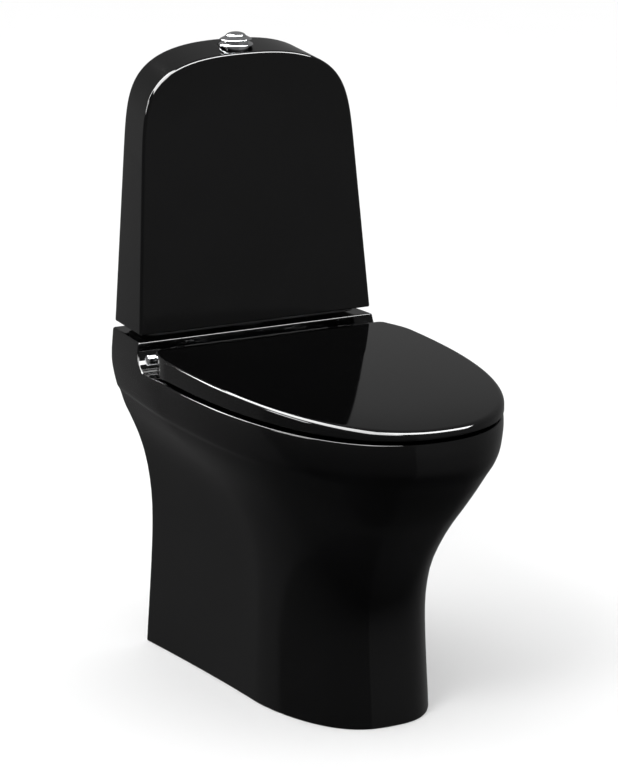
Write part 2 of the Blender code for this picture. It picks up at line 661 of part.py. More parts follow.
def make_flush_valve() -> None:
    """Flush valve tower, its lifting overflow tube and seal, and its backnut."""
    axis = place(0, VALVE_REACH, 0)
    floor = TANK_BOTTOM + TANK_FLOOR
    tail = TANK_BOTTOM - 0.020
    seat = floor + 0.012
    flange = floor + FIT_GAP
    profile = [(TAIL_BORE, tail), (TAIL_RADIUS, tail), (TAIL_RADIUS, flange), (FLANGE_RADIUS, flange),
               (FLANGE_RADIUS, floor + 0.006), (CAGE_RADIUS, seat), (TAIL_BORE, seat)]
    body = turned("flush_valve_body", profile, axis, grey_plastic(), 20)
    top = VALVE_TOP
    reach_out = CAGE_RADIUS - 0.0014
    for k in range(4):
        u = pi / 4 + pi / 2 * k
        x = reach_out * cos(u)
        reach = VALVE_REACH + reach_out * sin(u)
        post = block("strut", (x - CAGE_POST, x + CAGE_POST), (reach - CAGE_POST, reach + CAGE_POST),
                     (seat - 0.004, top - 0.003))
        join(body, post)
    join(body, tube("cage_ring", TUBE_RADIUS + RUN_GAP, CAGE_RADIUS, top - 0.006, top, axis, None, 20))
    tube("flush_valve_backnut", TAIL_RADIUS + 0.0004, 0.0325, TANK_BOTTOM - 0.014, TANK_BOTTOM - FIT_GAP,
         axis, white_plastic(), 20)
    tube_low = seat + 0.0045
    outer = TUBE_RADIUS
    inner = TUBE_RADIUS - TUBE_WALL
    profile = [(inner, tube_low), (outer, tube_low), (outer, tube_low + 0.004), (0.0180, tube_low + 0.004),
               (0.0180, tube_low + 0.006), (outer, tube_low + 0.006), (outer, TUBE_TOP), (inner, TUBE_TOP)]
    lifting = turned("overflow_tube", profile, axis, white_plastic(), 20)
    join(lifting, block("lift_lug", (outer - 0.001, LIFT_LUG_X), (VALVE_REACH - 0.004, VALVE_REACH + 0.004),
                        (LIFT_LUG_LOW, LIFT_LUG_LOW + 0.003)))
    block("half_flush_latch", (-LIFT_LUG_X, -outer - RUN_GAP), (VALVE_REACH - 0.004, VALVE_REACH + 0.004),
          (LIFT_LUG_LOW, LIFT_LUG_LOW + 0.006), blue_plastic())
    seal_top = tube_low + 0.004 - FIT_GAP
    tube("flush_seal", outer + 0.0002, SEAL_RADIUS, seat + FIT_GAP, seal_top, axis, rubber(), 20)


def make_rockers() -> None:
    """Bridge on top of the cage, and a rocker on its own pin at each side of the tube."""
    axis = place(0, VALVE_REACH, 0)
    low = VALVE_TOP + FIT_GAP
    high = low + 0.003
    bridge = tube("valve_bridge", TUBE_RADIUS + RUN_GAP, CAGE_RADIUS, low, high, axis, grey_plastic(), 20)
    ear_in = ROCKER_WIDTH / 2 + RUN_GAP
    ear_out = ear_in + 0.002
    for side, label, finish in ((-1, "half_rocker", blue_plastic()), (1, "full_rocker", white_plastic())):
        x = side * PIVOT_X
        inner = side * (CAGE_RADIUS - 0.004)
        ledge = (min(inner, x + side * 0.004), max(inner, x + side * 0.004))
        join(bridge, block("ledge", ledge, (VALVE_REACH - ear_out, VALVE_REACH + ear_out), (low, high)))
        for edge in (-1, 1):
            ear = (VALVE_REACH + edge * ear_in, VALVE_REACH + edge * ear_out)
            join(bridge, block("ear", (x - 0.0035, x + 0.0035), (min(ear), max(ear)),
                               (low + 0.002, PIVOT_HEIGHT + 0.003)))
        pivot = place(x, VALVE_REACH, PIVOT_HEIGHT)
        cut(bridge, rod("hole", PIN_BORE, -0.02, 0.02, pivot, None, 12, "Y"))
        rod(f"{label}_pin", PIN_RADIUS, -ear_out - 0.001, ear_out + 0.001, pivot, brass(), 12, "Y")
        half = ROCKER_WIDTH / 2
        lever = rod(label, HUB_RADIUS, -half, half, pivot, finish, 14, "Y")
        tips = sorted((x + side * PRESS_ARM, x - side * LIFT_ARM))
        beam = block("beam", tips, (VALVE_REACH - half + 0.0005, VALVE_REACH + half - 0.0005),
                     (PIVOT_HEIGHT - ROCKER_HALF, PIVOT_HEIGHT + ROCKER_HALF))
        join(lever, beam)
        cut(lever, rod("bore", PIN_BORE, -0.02, 0.02, pivot, None, 12, "Y"))


def make_fill_valve() -> None:
    """Bottom-entry fill valve with its shank, nuts, sliding float and lever."""
    spot = place(FILL_OFFSET, VALVE_REACH, 0)
    floor = TANK_BOTTOM + TANK_FLOOR
    top = floor + 0.215
    shank_low = DECK_HEIGHT - 0.045
    profile = [(0.005, shank_low), (FILL_SHANK_RADIUS, shank_low), (FILL_SHANK_RADIUS, floor + 0.003),
               (0.0165, floor + 0.003), (0.0165, floor + 0.007), (FILL_COLUMN_RADIUS, floor + 0.010),
               (FILL_COLUMN_RADIUS, top), (FILL_HEAD_RADIUS, top + 0.004),
               (FILL_HEAD_RADIUS, top + 0.018), (0.012, top + 0.022), (0.005, top + 0.022)]
    body = turned("fill_valve_body", profile, spot, white_plastic(), 20)
    across = (FILL_OFFSET - ARM_PIVOT - 0.0030, FILL_OFFSET - FILL_HEAD_RADIUS + 0.0035)
    for edge in (-1, 1):
        cheek = sorted((VALVE_REACH + edge * 0.0031, VALVE_REACH + edge * 0.0052))
        join(body, block("cheek", across, cheek, (top + 0.006, top + 0.017)))
    pivot = place(FILL_OFFSET - ARM_PIVOT, VALVE_REACH, top + 0.0115)
    cut(body, rod("pin_hole", PIN_BORE, -0.02, 0.02, pivot, None, 12, "Y"))
    rod("float_arm_pin", PIN_RADIUS, -0.0062, 0.0062, pivot, brass(), 12, "Y")
    along = (pivot.x - ARM_LENGTH - 0.002, pivot.x + 0.003)
    arm = block("float_arm", along, (VALVE_REACH - 0.0025, VALVE_REACH + 0.0025),
                (pivot.z - ARM_HALF, pivot.z + ARM_HALF), white_plastic())
    cut(arm, rod("pin_hole", PIN_BORE, -0.02, 0.02, pivot, None, 12, "Y"))
    tube("fill_valve_washer", FILL_SHANK_RADIUS + 0.0004, 0.0160, floor + FIT_GAP,
         floor + 0.003 - FIT_GAP, spot, rubber(), 16)
    nut_top = TANK_BOTTOM - FIT_GAP
    room = nut_top - DECK_HEIGHT
    tube("fill_valve_backnut", FILL_SHANK_RADIUS + 0.0004, FILL_HOLE_RADIUS - 0.0006, nut_top - room - 0.010,
         nut_top, spot, white_plastic(), 12)
    low = floor + 0.090
    profile = [(FILL_COLUMN_RADIUS + 0.0008, low), (FLOAT_RADIUS, low + 0.003), (FLOAT_RADIUS, low + 0.065),
               (FLOAT_RADIUS - 0.004, low + 0.070), (FILL_COLUMN_RADIUS + 0.0008, low + 0.070)]
    buoy = turned("fill_float", profile, spot, blue_plastic(), 20)
    link_x = pivot.x - ARM_LENGTH
    join(buoy, block("lug", (link_x - 0.002, FILL_OFFSET - FLOAT_RADIUS + 0.006),
                     (VALVE_REACH - 0.002, VALVE_REACH + 0.002), (low + 0.056, low + 0.060)))
    link_top = pivot.z - ARM_HALF - FIT_GAP
    join(buoy, rod("link", 0.0013, low + 0.058, link_top, place(link_x, VALVE_REACH, 0), None, 12))


# ---- flush button --------------------------------------------------------------------------
def make_buttons() -> None:
    """Chrome collar, ring-shaped full flush button and domed half flush button, with rods."""
    axis = place(0, BUTTON_REACH, 0)
    seat = BUTTON_SEAT
    inner = SLEEVE_RADIUS - SLEEVE_WALL
    flange = seat + FIT_GAP
    under = seat - COVER_WALL - 0.010
    profile = [(inner, under), (SLEEVE_RADIUS, under), (SLEEVE_RADIUS, flange), (COLLAR_RADIUS, flange),
               (COLLAR_RADIUS, flange + 0.0020), (COLLAR_RADIUS - 0.0015, flange + 0.0032),
               (inner, flange + 0.0032)]
    turned("button_collar", profile, axis, chrome(), 24)
    tube("collar_nut", SLEEVE_RADIUS + 0.0004, 0.0228, under + 0.001, under + 0.005, axis,
         white_plastic(), 16)
    ring_out = inner - RUN_GAP
    ring_in = DOME_RADIUS + RUN_GAP
    brim_low = flange + 0.0032 + BUTTON_TRAVEL + RUN_GAP
    profile = [(ring_in, under - 0.004), (ring_out, under - 0.004), (ring_out, brim_low),
               (BRIM_RADIUS, brim_low), (BRIM_RADIUS, brim_low + 0.0012), (ring_in, brim_low + 0.0052)]
    button = turned("full_flush_button", profile, axis, chrome(), 24)
    tab = block("tab", (ring_in + 0.0004, ROD_X + 0.003), (BUTTON_REACH - 0.004, BUTTON_REACH + 0.004),
                (under - 0.0070, under - 0.003))
    join(button, tab)
    dome_low = brim_low - 0.006
    rise = brim_low + 0.0052
    dome = [(0.0, under - 0.006), (0.0035, under - 0.006), (0.0035, dome_low), (DOME_RADIUS, dome_low),
            (DOME_RADIUS, rise)]
    steps = 5
    for i in range(1, steps):
        u = pi / 2 * i / steps
        dome.append((DOME_RADIUS * cos(u), rise + 0.0055 * sin(u)))
    dome.append((0.0, rise + 0.0055))
    turned("half_flush_button", dome, axis, chrome(), 24)
    foot = PIVOT_HEIGHT + ROCKER_HALF + FIT_GAP
    stem_top = under - 0.006 - FIT_GAP
    for side, label, high, finish in ((1, "full_flush_rod", under - 0.0070 - FIT_GAP, white_plastic()),
                                      (-1, "half_flush_rod", stem_top - 0.0105, blue_plastic())):
        profile = [(0.0, foot), (0.0014, foot), (0.0014, foot + 0.012), (0.0024, foot + 0.016),
                   (0.0024, high), (0.0, high)]
        push = turned(label, profile, place(side * ROD_X, BUTTON_REACH, 0), finish, 12)
        if side < 0:
            cross = (stem_top - 0.014, stem_top - 0.010)
            reach = (BUTTON_REACH - 0.0022, BUTTON_REACH + 0.0022)
            join(push, block("cross", (-ROD_X - 0.0022, 0.0028), reach, cross))
            join(push, rod("stem", 0.0028, stem_top - 0.0135, stem_top, axis, None, 12))


# ---- hinge ---------------------------------------------------------------------------------
def make_hinge() -> None:
    """Hinge bar on two posts that are bolted through the rim, with end caps."""
    axis = place(0, HINGE_REACH, HINGE_HEIGHT)
    tube("hinge_bar", BAR_BORE, BAR_RADIUS, -BAR_HALF, BAR_HALF, axis, chrome(), 16, "X")
    for side, label in ((-1, "left"), (1, "right")):
        low = BAR_HALF + FIT_GAP
        cap_profile = [(0.0, low - 0.006), (BAR_BORE - 0.0003, low - 0.006), (BAR_BORE - 0.0003, low),
                       (BAR_RADIUS, low), (BAR_RADIUS, low + CAP_LENGTH - 0.001),
                       (BAR_RADIUS - 0.001, low + CAP_LENGTH), (0.0, low + CAP_LENGTH)]
        turned(f"hinge_cap_{label}", [(r, side * h) for r, h in cap_profile], axis, chrome(), 16, "X")
        x = side * POST_SPACING / 2
        half = POST_WIDTH / 2
        foot = place(x, POST_REACH, 0)
        base = RIM_HEIGHT + FIT_GAP
        stud_low = RIM_HEIGHT - RIM_THICKNESS - 0.026
        profile = [(0.0, stud_low), (STUD_RADIUS, stud_low), (STUD_RADIUS, base), (POST_FOOT_RADIUS, base),
                   (POST_FOOT_RADIUS, base + 0.003), (POST_FOOT_RADIUS - 0.001, base + 0.004),
                   (0.0, base + 0.004)]
        post = turned(f"hinge_post_{label}", profile, foot, chrome(), 16)
        join(post, rod("eye", LUG_RADIUS, x - half, x + half, axis, None, 16, "X"))
        web = block("web", (x - half + 0.0005, x + half - 0.0005), (HINGE_REACH + 0.001, POST_REACH + 0.006),
                    (base + 0.002, HINGE_HEIGHT + 0.002))
        join(post, web)
        cut(post, rod("eye_bore", BAR_RADIUS + FIT_GAP, x - 0.03, x + 0.03, axis, None, 16, "X"))
        under = RIM_HEIGHT - RIM_THICKNESS - FIT_GAP
        tube(f"post_washer_{label}", STUD_BORE, 0.011, under - 0.002, under, foot, rubber(), 16)
        nut_top = under - 0.002 - FIT_GAP
        low = nut_top - 0.009
        hex_profile_nut(f"post_nut_{label}", 0.016, STUD_BORE, low, nut_top, foot, white_plastic())


# ---- seat and lid --------------------------------------------------------------------------
def hood_outline(inset: float, back: float, corner: float):
    """Plan of the seat or the lid: the rim's curve, cut square at the back with round corners."""
    rim = UPPER_SECTIONS[0][1]
    start = rim.curve_start
    half = RIM_WIDTH / 2 - inset
    front = OVERALL_DEPTH + LID_INSET - inset
    rear_half = half - 0.0105
    points = []
    for k in range(4):
        u = pi / 2 * k / 3
        points.append((rear_half - corner + corner * sin(u), back + corner - corner * cos(u)))
    side_steps = 4
    for i in range(1, side_steps):
        t = i / side_steps
        reach = back + corner + (start + 0.04 - back - corner) * t
        points.append((half + (rear_half - half) * (1 - t) ** 1.7, reach))
    for i in range(OUTLINE_FRONT_POINTS + 1):
        u = pi / 2 * i / OUTLINE_FRONT_POINTS
        x = half * max(cos(u), 0.0) ** (2 / rim.side_power)
        reach = start + 0.04 + (front - start - 0.04) * sin(u) ** (2 / 2.75)
        points.append((x, reach))
    points[-1] = (0.0, front)
    left = [(-x, reach) for x, reach in points]
    right = [(x, reach) for x, reach in reversed(points[:-1])]
    return left + right


def lid_edge_height(reach: float) -> float:
    """Height of the lid's top edge above the rim: level at the back, falling to the front."""
    t = min(max((reach - LID_BACK) / (OVERALL_DEPTH - LID_BACK), 0.0), 1.0)
    return LID_REAR_HEIGHT + (LID_FRONT_HEIGHT - LID_REAR_HEIGHT) * t * t


def lid_top(x: float, reach: float, drop: float) -> Vector:
    """A point on the lid's crowned top, lowered by a thickness."""
    t = min(max((reach - LID_BACK) / (OVERALL_DEPTH - LID_BACK), 0.0), 1.0)
    across = 1 - (abs(x) / (RIM_WIDTH / 2)) ** 2
    along = 1 - t ** 4
    rise = LID_CROWN * max(across, 0.0) * max(along, 0.0)
    return place(x, reach, RIM_HEIGHT + lid_edge_height(reach) + rise - drop)


def shrink(outline, share: float):
    """Pull an outline towards its middle line."""
    middle = (outline[0][1] + OVERALL_DEPTH) / 2
    return [(x * share, middle + (reach - middle) * share) for x, reach in outline]


def hood(name: str, outline, low: float, drop: float, edge: float, finish=None):
    """A solid with a flat underside and the lid's crowned top, with a small top edge."""
    rings = [level(outline, low)]
    rings.append([lid_top(x, reach, drop + edge) for x, reach in outline])
    first = outline if edge == 0.0 else shrink(outline, 1 - edge / 0.20)
    for share in (1.0, 0.80, 0.55, 0.28):
        rings.append([lid_top(x, reach, drop) for x, reach in shrink(first, share)])
    if edge == 0.0:
        del rings[1]
    return loft(name, rings, finish)


def lug(x: float, reach_to: float, z_range, finish=None):
    """A hinge lug: an eye on the bar with an arm that runs forward."""
    axis = place(0, HINGE_REACH, HINGE_HEIGHT)
    half = LUG_WIDTH / 2
    eye = rod("lug", LUG_RADIUS, x - half, x + half, axis, finish, 16, "X")
    arm = block("arm", (x - half + 0.0005, x + half - 0.0005), (HINGE_REACH + 0.001, reach_to), z_range)
    join(eye, arm)
    return eye


def make_lid():
    """Wrap-over lid: a thin crowned shell with deep sides and two hinge lugs."""
    outline = hood_outline(LID_INSET, LID_BACK, LID_CORNER)
    lid = hood("lid", outline, RIM_HEIGHT + LID_HEM, 0.0, LID_EDGE, resin())
    inner = hood_outline(LID_INSET + LID_WALL, LID_BACK - 0.020, 0.010)
    cut(lid, hood("lid_room", inner, RIM_HEIGHT + LID_HEM - CUT_MARGIN, LID_WALL, 0.0))
    for side in (-1, 1):
        join(lid, lug(side * LID_LUG_X, LID_BACK + 0.016,
                      (HINGE_HEIGHT + 0.001, RIM_HEIGHT + LID_REAR_HEIGHT - LID_WALL + 0.0015)))
    cut(lid, rod("bore", LUG_BORE, -0.3, 0.3, place(0, HINGE_REACH, HINGE_HEIGHT), None, 16, "X"))
    return lid


def make_seat():
    """Slim wedge-shaped seat ring under the lid, notched around the posts and the lid's lugs."""
    outline = hood_outline(SEAT_INSET, SEAT_BACK, LID_CORNER)
    low = RIM_HEIGHT + SEAT_GAP
    seat = hood("seat", outline, low, LID_WALL + LID_SEAT_GAP, 0.002, resin())
    front = OVERALL_DEPTH + LID_INSET - SEAT_INSET - SEAT_FRONT_WIDTH
    opening = oval(SEAT_OPENING_WIDTH / 2, SEAT_OPENING_BACK, front)
    start = RIM_HEIGHT + SEAT_BEVEL_START
    dished = oval(SEAT_OPENING_WIDTH / 2 + SEAT_BEVEL, SEAT_OPENING_BACK - SEAT_BEVEL, front + SEAT_BEVEL)
    cut(seat, loft("opening", [level(opening, low - CUT_MARGIN), level(opening, start),
                               level(dished, start + SEAT_BEVEL), level(dished, low + 0.06)]))
    for side in (-1, 1):
        clear = 0.0015
        x = side * LID_LUG_X
        cut(seat, block("lid_notch", (x - LUG_WIDTH / 2 - clear, x + LUG_WIDTH / 2 + clear),
                        (SEAT_BACK - 0.05, LID_BACK + 0.016 + clear), (low - 0.01, low + 0.06)))
        x = side * POST_SPACING / 2
        cut(seat, block("post_notch", (x - POST_FOOT_RADIUS - clear, x + POST_FOOT_RADIUS + clear),
                        (SEAT_BACK - 0.05, POST_REACH + POST_FOOT_RADIUS + clear), (low - 0.01, low + 0.06)))
        join(seat, lug(side * SEAT_LUG_X, SEAT_BACK + 0.010, (HINGE_HEIGHT - 0.006, HINGE_HEIGHT + 0.004)))
    cut(seat, rod("bore", LUG_BORE, -0.3, 0.3, place(0, HINGE_REACH, HINGE_HEIGHT), None, 16, "X"))
    return seat


def make_buffers() -> None:
    """Rubber pads under the seat."""
    top = RIM_HEIGHT + SEAT_GAP - FIT_GAP
    low = RIM_HEIGHT + FIT_GAP
    for side, hand in ((-1, "left"), (1, "right")):
        for label, x, reach in (("rear", 0.150, 0.260), ("front", 0.098, 0.520)):
            spot = place(side * x, reach, 0)
            rod(f"seat_buffer_{label}_{hand}", BUFFER_RADIUS, low, top, spot, rubber(), 16)


def main() -> None:
    """Build every piece."""
    clear_scene()
    make_pan()
    make_cover()
    make_tank()
    make_tank_fixings()
    make_flush_valve()
    make_rockers()
    make_fill_valve()
    make_buttons()
    make_hinge()
    make_seat()
    make_lid()
    make_buffers()


main()
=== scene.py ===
"""Finished look of a close coupled toilet: glazed pan, cistern, wrap-over lid, seat and dual flush.

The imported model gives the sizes, the moving bodies and the pieces inside the cistern. This file
shapes the surfaces that show at a finer grain, and gives every piece its finish.

Lengths are metres, +Z is up and the wall is on the +Y side. Outlines are drawn as (x, reach),
where reach is the distance from the wall towards the front.
"""

import json
import logging
from dataclasses import astuple, dataclass, replace
from enum import Enum
from math import cos, pi, radians, sin
from typing import Callable, Iterable, Optional, Sequence

import bmesh
import bpy
from mathutils import Matrix, Vector


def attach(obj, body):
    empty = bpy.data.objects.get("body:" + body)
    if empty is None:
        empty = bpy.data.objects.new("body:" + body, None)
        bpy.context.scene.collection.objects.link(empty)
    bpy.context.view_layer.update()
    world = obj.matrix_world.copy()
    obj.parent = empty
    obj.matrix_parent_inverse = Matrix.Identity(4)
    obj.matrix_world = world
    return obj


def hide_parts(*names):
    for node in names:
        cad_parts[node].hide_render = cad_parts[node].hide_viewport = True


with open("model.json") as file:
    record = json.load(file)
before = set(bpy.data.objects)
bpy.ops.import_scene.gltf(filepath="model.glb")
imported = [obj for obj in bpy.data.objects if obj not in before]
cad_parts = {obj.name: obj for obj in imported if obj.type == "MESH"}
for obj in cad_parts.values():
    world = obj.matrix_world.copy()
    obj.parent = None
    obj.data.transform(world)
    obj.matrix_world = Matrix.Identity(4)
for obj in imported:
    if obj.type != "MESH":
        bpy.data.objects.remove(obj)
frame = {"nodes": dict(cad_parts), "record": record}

logging.basicConfig(level=logging.INFO, format="%(message)s")
log = logging.getLogger("toilet")

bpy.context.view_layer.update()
DEPTH = 0.616
WALL_Y = DEPTH / 2
RIM_WIDTH = 0.384
RIM_HEIGHT = 0.424
HINGE_REACH = 0.121
HINGE_HEIGHT = 0.440
EYE_RADIUS = 0.0115
POST_X = 0.0775
POST_REACH = 0.131
POST_FOOT = 0.012
LID_LUG_X = 0.131
BUTTON_REACH = 0.038
BUTTON_LEVEL = 0.8452
MERGE = 0.00001
ONE_PLANE = radians(0.05)
HANDS = ((-1, "left"), (1, "right"))

Item = bpy.types.Object
Triple = tuple[float, float, float]
Colour = Triple
Plan = list[tuple[float, float]]


class Axis(Enum):
    """Directions a turned piece can point along."""

    UP = "Z"
    ACROSS = "X"
    OUT = "Y"


class Cut(Enum):
    """What one solid does to another."""

    REMOVE = "DIFFERENCE"
    ADD = "UNION"


# ---- shader wiring -------------------------------------------------------------------------
class Wire:
    """A shader socket that takes part in Python sums."""

    def __init__(self, tree: "Tree", socket: bpy.types.NodeSocket) -> None:
        """Keep the tree that owns the socket, and the socket."""
        self.tree = tree
        self.socket = socket

    def _maths(self, operation: str, other: "Wire | float") -> "Wire":
        """Add one Math node."""
        return self.tree.node("ShaderNodeMath", {"operation": operation}, {0: self, 1: other})

    def __add__(self, other: "Wire | float") -> "Wire":
        """self + other."""
        return self._maths("ADD", other)

    def __sub__(self, other: "Wire | float") -> "Wire":
        """self - other."""
        return self._maths("SUBTRACT", other)

    def __mul__(self, other: "Wire | float") -> "Wire":
        """self * other."""
        return self._maths("MULTIPLY", other)

    __radd__ = __add__
    __rmul__ = __mul__


class Tree:
    """A node tree that grows node by node."""

    def __init__(self, owner: bpy.types.Material | bpy.types.World) -> None:
        """Give the owner a node tree."""
        owner.use_nodes = True
        self.owner = owner
        self.nodes = owner.node_tree.nodes

    def node(self, kind: str, settings: Optional[dict] = None, sockets: Optional[dict] = None,
             out: int | str = 0) -> Wire:
        """Add a node.

        Args:
            kind: the node's type.
            settings: attributes to set first.
            sockets: values or wires for its inputs, by name or number.
            out: the output to hand back.

        Returns:
            The chosen output as a wire.
        """
        made = self.nodes.new(kind)
        for key, value in (settings or {}).items():
            setattr(made, key, value)
        for key, value in (sockets or {}).items():
            self.feed(made.inputs[key], value)
        return Wire(self, made.outputs[out])

    def feed(self, target: bpy.types.NodeSocket, value: Wire | Colour | float) -> None:
        """Link a wire to a socket, or set the socket's own value."""
        if isinstance(value, Wire):
            self.owner.node_tree.links.new(value.socket, target)
        elif target.type == "RGBA":
            target.default_value = (*value, 1.0)
        else:
            target.default_value = value


class Recipe(Tree):
    """One procedural material and its node tree."""

    def __init__(self, name: str) -> None:
        """Start a material with an empty Principled surface."""
        super().__init__(bpy.data.materials.new(name))
        self.shader = self.nodes["Principled BSDF"]

    def place(self) -> Wire:
        """The piece's own coordinates, in metres."""
        return self.node("ShaderNodeTexCoord", out="Object")

    def noise(self, scale: float, detail: float = 2.0, roughness: float = 0.5,
              stretch: Triple = (1.0, 1.0, 1.0)) -> Wire:
        """Cloudy noise from 0 to 1; scale is in cycles per metre."""
        spot = self.node("ShaderNodeMapping", None, {"Vector": self.place(), "Scale": stretch})
        return self.node("ShaderNodeTexNoise", None,
                         {"Vector": spot, "Scale": scale, "Detail": detail, "Roughness": roughness})

    def ramp(self, value: Wire, low: float, high: float) -> Wire:
        """A smooth step from 0 at low to 1 at high."""
        return self.node("ShaderNodeMapRange", {"interpolation_type": "SMOOTHSTEP"},
                         {"Value": value, "From Min": low, "From Max": high})

    def blend(self, share: Wire, first: Colour, second: Colour) -> Wire:
        """Mix two colours."""
        return self.node("ShaderNodeMix", {"data_type": "RGBA"}, {0: share, 6: first, 7: second}, 2)

    def relief(self, height: Wire, depth: float) -> Wire:
        """A bump of the given depth in metres."""
        return self.node("ShaderNodeBump", None, {"Height": height, "Distance": depth, "Strength": 1.0})

    def surface(self, **inputs: Wire | Colour | float) -> bpy.types.Material:
        """Set the Principled surface's sockets and hand back the material."""
        for key, value in inputs.items():
            self.feed(self.shader.inputs[key.replace("_", " ")], value)
        return self.owner


# ---- finishes ------------------------------------------------------------------------------
def toned(colour: Colour, share: float) -> Colour:
    """A colour made lighter or darker."""
    return tuple(share * c for c in colour)


@dataclass(frozen=True)
class Glaze:
    """Fired gloss glaze: deep colour, faint ripple from the firing and a few tiny specks."""

    name: str = "black_glaze"
    colour: Colour = (0.0011, 0.0011, 0.0012)
    pooled: Colour = (0.0021, 0.0021, 0.0023)
    roughness: float = 0.045
    ripple: float = 0.00006
    ripple_scale: float = 38.0

    def make(self) -> bpy.types.Material:
        """Build the material."""
        recipe = Recipe(self.name)
        cloud = recipe.noise(7.0, 3.0)
        fine = recipe.noise(900.0, 1.0)
        speck = recipe.ramp(fine, 0.74, 0.80)
        colour = recipe.blend(recipe.ramp(cloud, 0.35, 0.70), self.colour, self.pooled)
        wave = recipe.noise(self.ripple_scale, 1.0, 0.4)
        smear = recipe.ramp(recipe.noise(16.0, 4.0), 0.40, 0.75)
        gloss = self.roughness + 0.030 * smear + speck * 0.05
        return recipe.surface(Base_Color=colour, Roughness=gloss, IOR=1.52, Coat_Roughness=0.02,
                              Normal=recipe.relief(wave - speck * 0.02, self.ripple))


@dataclass(frozen=True)
class Resin:
    """Polished moulded thermoset: flatter than glaze, with faint buffing marks."""

    name: str = "black_resin"
    colour: Colour = (0.0014, 0.0014, 0.0015)
    roughness: float = 0.045

    def make(self) -> bpy.types.Material:
        """Build the material."""
        recipe = Recipe(self.name)
        cloud = recipe.noise(9.0, 2.0)
        buff = recipe.noise(420.0, 2.0, 0.6, (1.0, 0.08, 1.0))
        gloss = self.roughness + 0.025 * recipe.ramp(cloud, 0.35, 0.75) + 0.010 * buff
        colour = recipe.blend(cloud, self.colour, toned(self.colour, 1.5))
        return recipe.surface(Base_Color=colour, Roughness=gloss, IOR=1.50,
                              Normal=recipe.relief(cloud + 0.02 * buff, 0.00003))


@dataclass(frozen=True)
class Chrome:
    """Bright plated metal with faint smears."""

    name: str = "chrome_plate"
    colour: Colour = (0.80, 0.81, 0.83)
    roughness: float = 0.055

    def make(self) -> bpy.types.Material:
        """Build the material."""
        recipe = Recipe(self.name)
        smear = recipe.ramp(recipe.noise(60.0, 4.0, 0.6, (1.0, 1.0, 0.4)), 0.45, 0.80)
        grain = recipe.noise(1500.0, 1.0)
        tint = recipe.blend(smear, self.colour, toned(self.colour, 0.93))
        return recipe.surface(Base_Color=tint, Metallic=1.0, Roughness=self.roughness + 0.06 * smear,
                              Normal=recipe.relief(grain, 0.000004))


@dataclass(frozen=True)
class Moulded:
    """Satin moulded plastic with a fine grain and faint flow marks."""

    name: str
    colour: Colour
    roughness: float = 0.42

    def make(self) -> bpy.types.Material:
        """Build the material."""
        recipe = Recipe(self.name)
        flow = recipe.noise(35.0, 3.0, 0.6, (1.0, 1.0, 0.35))
        grain = recipe.noise(1800.0, 2.0)
        shade = recipe.blend(recipe.ramp(flow, 0.30, 0.75), self.colour, toned(self.colour, 0.86))
        return recipe.surface(Base_Color=shade, Roughness=self.roughness + 0.10 * (flow - 0.5),
                              Normal=recipe.relief(grain + 0.5 * flow, 0.00002))


@dataclass(frozen=True)
class Rubber:
    """Matt black rubber with a dusty bloom."""

    name: str = "black_rubber"
    colour: Colour = (0.016, 0.016, 0.017)

    def make(self) -> bpy.types.Material:
        """Build the material."""
        recipe = Recipe(self.name)
        bloom = recipe.noise(150.0, 4.0, 0.65)
        shade = recipe.blend(recipe.ramp(bloom, 0.50, 0.85), self.colour, (0.045, 0.045, 0.047))
        return recipe.surface(Base_Color=shade, Roughness=0.70 + 0.15 * bloom,
                              Normal=recipe.relief(recipe.noise(2500.0, 2.0), 0.00003))


@dataclass(frozen=True)
class Brass:
    """Turned brass, slightly dulled in the damp."""

    name: str = "turned_brass"
    colour: Colour = (0.64, 0.46, 0.20)

    def make(self) -> bpy.types.Material:
        """Build the material."""
        recipe = Recipe(self.name)
        dull = recipe.ramp(recipe.noise(220.0, 4.0, 0.6), 0.45, 0.75)
        rings = recipe.node("ShaderNodeTexWave", {"wave_type": "RINGS", "rings_direction": "Z"},
                            {"Vector": recipe.place(), "Scale": 900.0, "Distortion": 0.4})
        shade = recipe.blend(dull, self.colour, (0.34, 0.22, 0.10))
        return recipe.surface(Base_Color=shade, Metallic=1.0, Roughness=0.24 + 0.26 * dull,
                              Normal=recipe.relief(rings, 0.00001))


@dataclass(frozen=True)
class Floor:
    """Plain pale studio floor."""

    name: str = "pale_floor"
    colour: Colour = (0.86, 0.86, 0.86)

    def make(self) -> bpy.types.Material:
        """Build the material."""
        recipe = Recipe(self.name)
        cloud = recipe.noise(3.0, 3.0)
        shade = recipe.blend(cloud, self.colour, toned(self.colour, 0.985))
        return recipe.surface(Base_Color=shade, Roughness=0.85, Specular_IOR_Level=0.1)


class Palette(Enum):
    """Every finish on the object, with the record's slot it stands for."""

    CERAMIC = (Glaze(), "glazed_ceramic")
    RESIN = (Resin(), "gloss_resin")
    CHROME = (Chrome(), "chrome")
    BLACK = (Moulded("black_moulding", (0.020, 0.020, 0.021)), "black_plastic")
    WHITE = (Moulded("white_moulding", (0.72, 0.73, 0.73)), "white_plastic")
    GREY = (Moulded("grey_moulding", (0.26, 0.27, 0.29)), "grey_plastic")
    BLUE = (Moulded("blue_moulding", (0.06, 0.16, 0.38)), "blue_plastic")
    RUBBER = (Rubber(), "rubber")
    BRASS = (Brass(), "brass")

    @property
    def slot(self) -> str:
        """The record's material slot."""
        return self.value[1]

    def material(self) -> bpy.types.Material:
        """The finish's material, made once."""
        finish = self.value[0]
        return bpy.data.materials.get(finish.name) or finish.make()


# ---- shaping -------------------------------------------------------------------------------
def place(x: float, reach: float, z: float) -> Vector:
    """Turn a width, a reach from the wall and a height into a point."""
    return Vector((x, WALL_Y - reach, z))


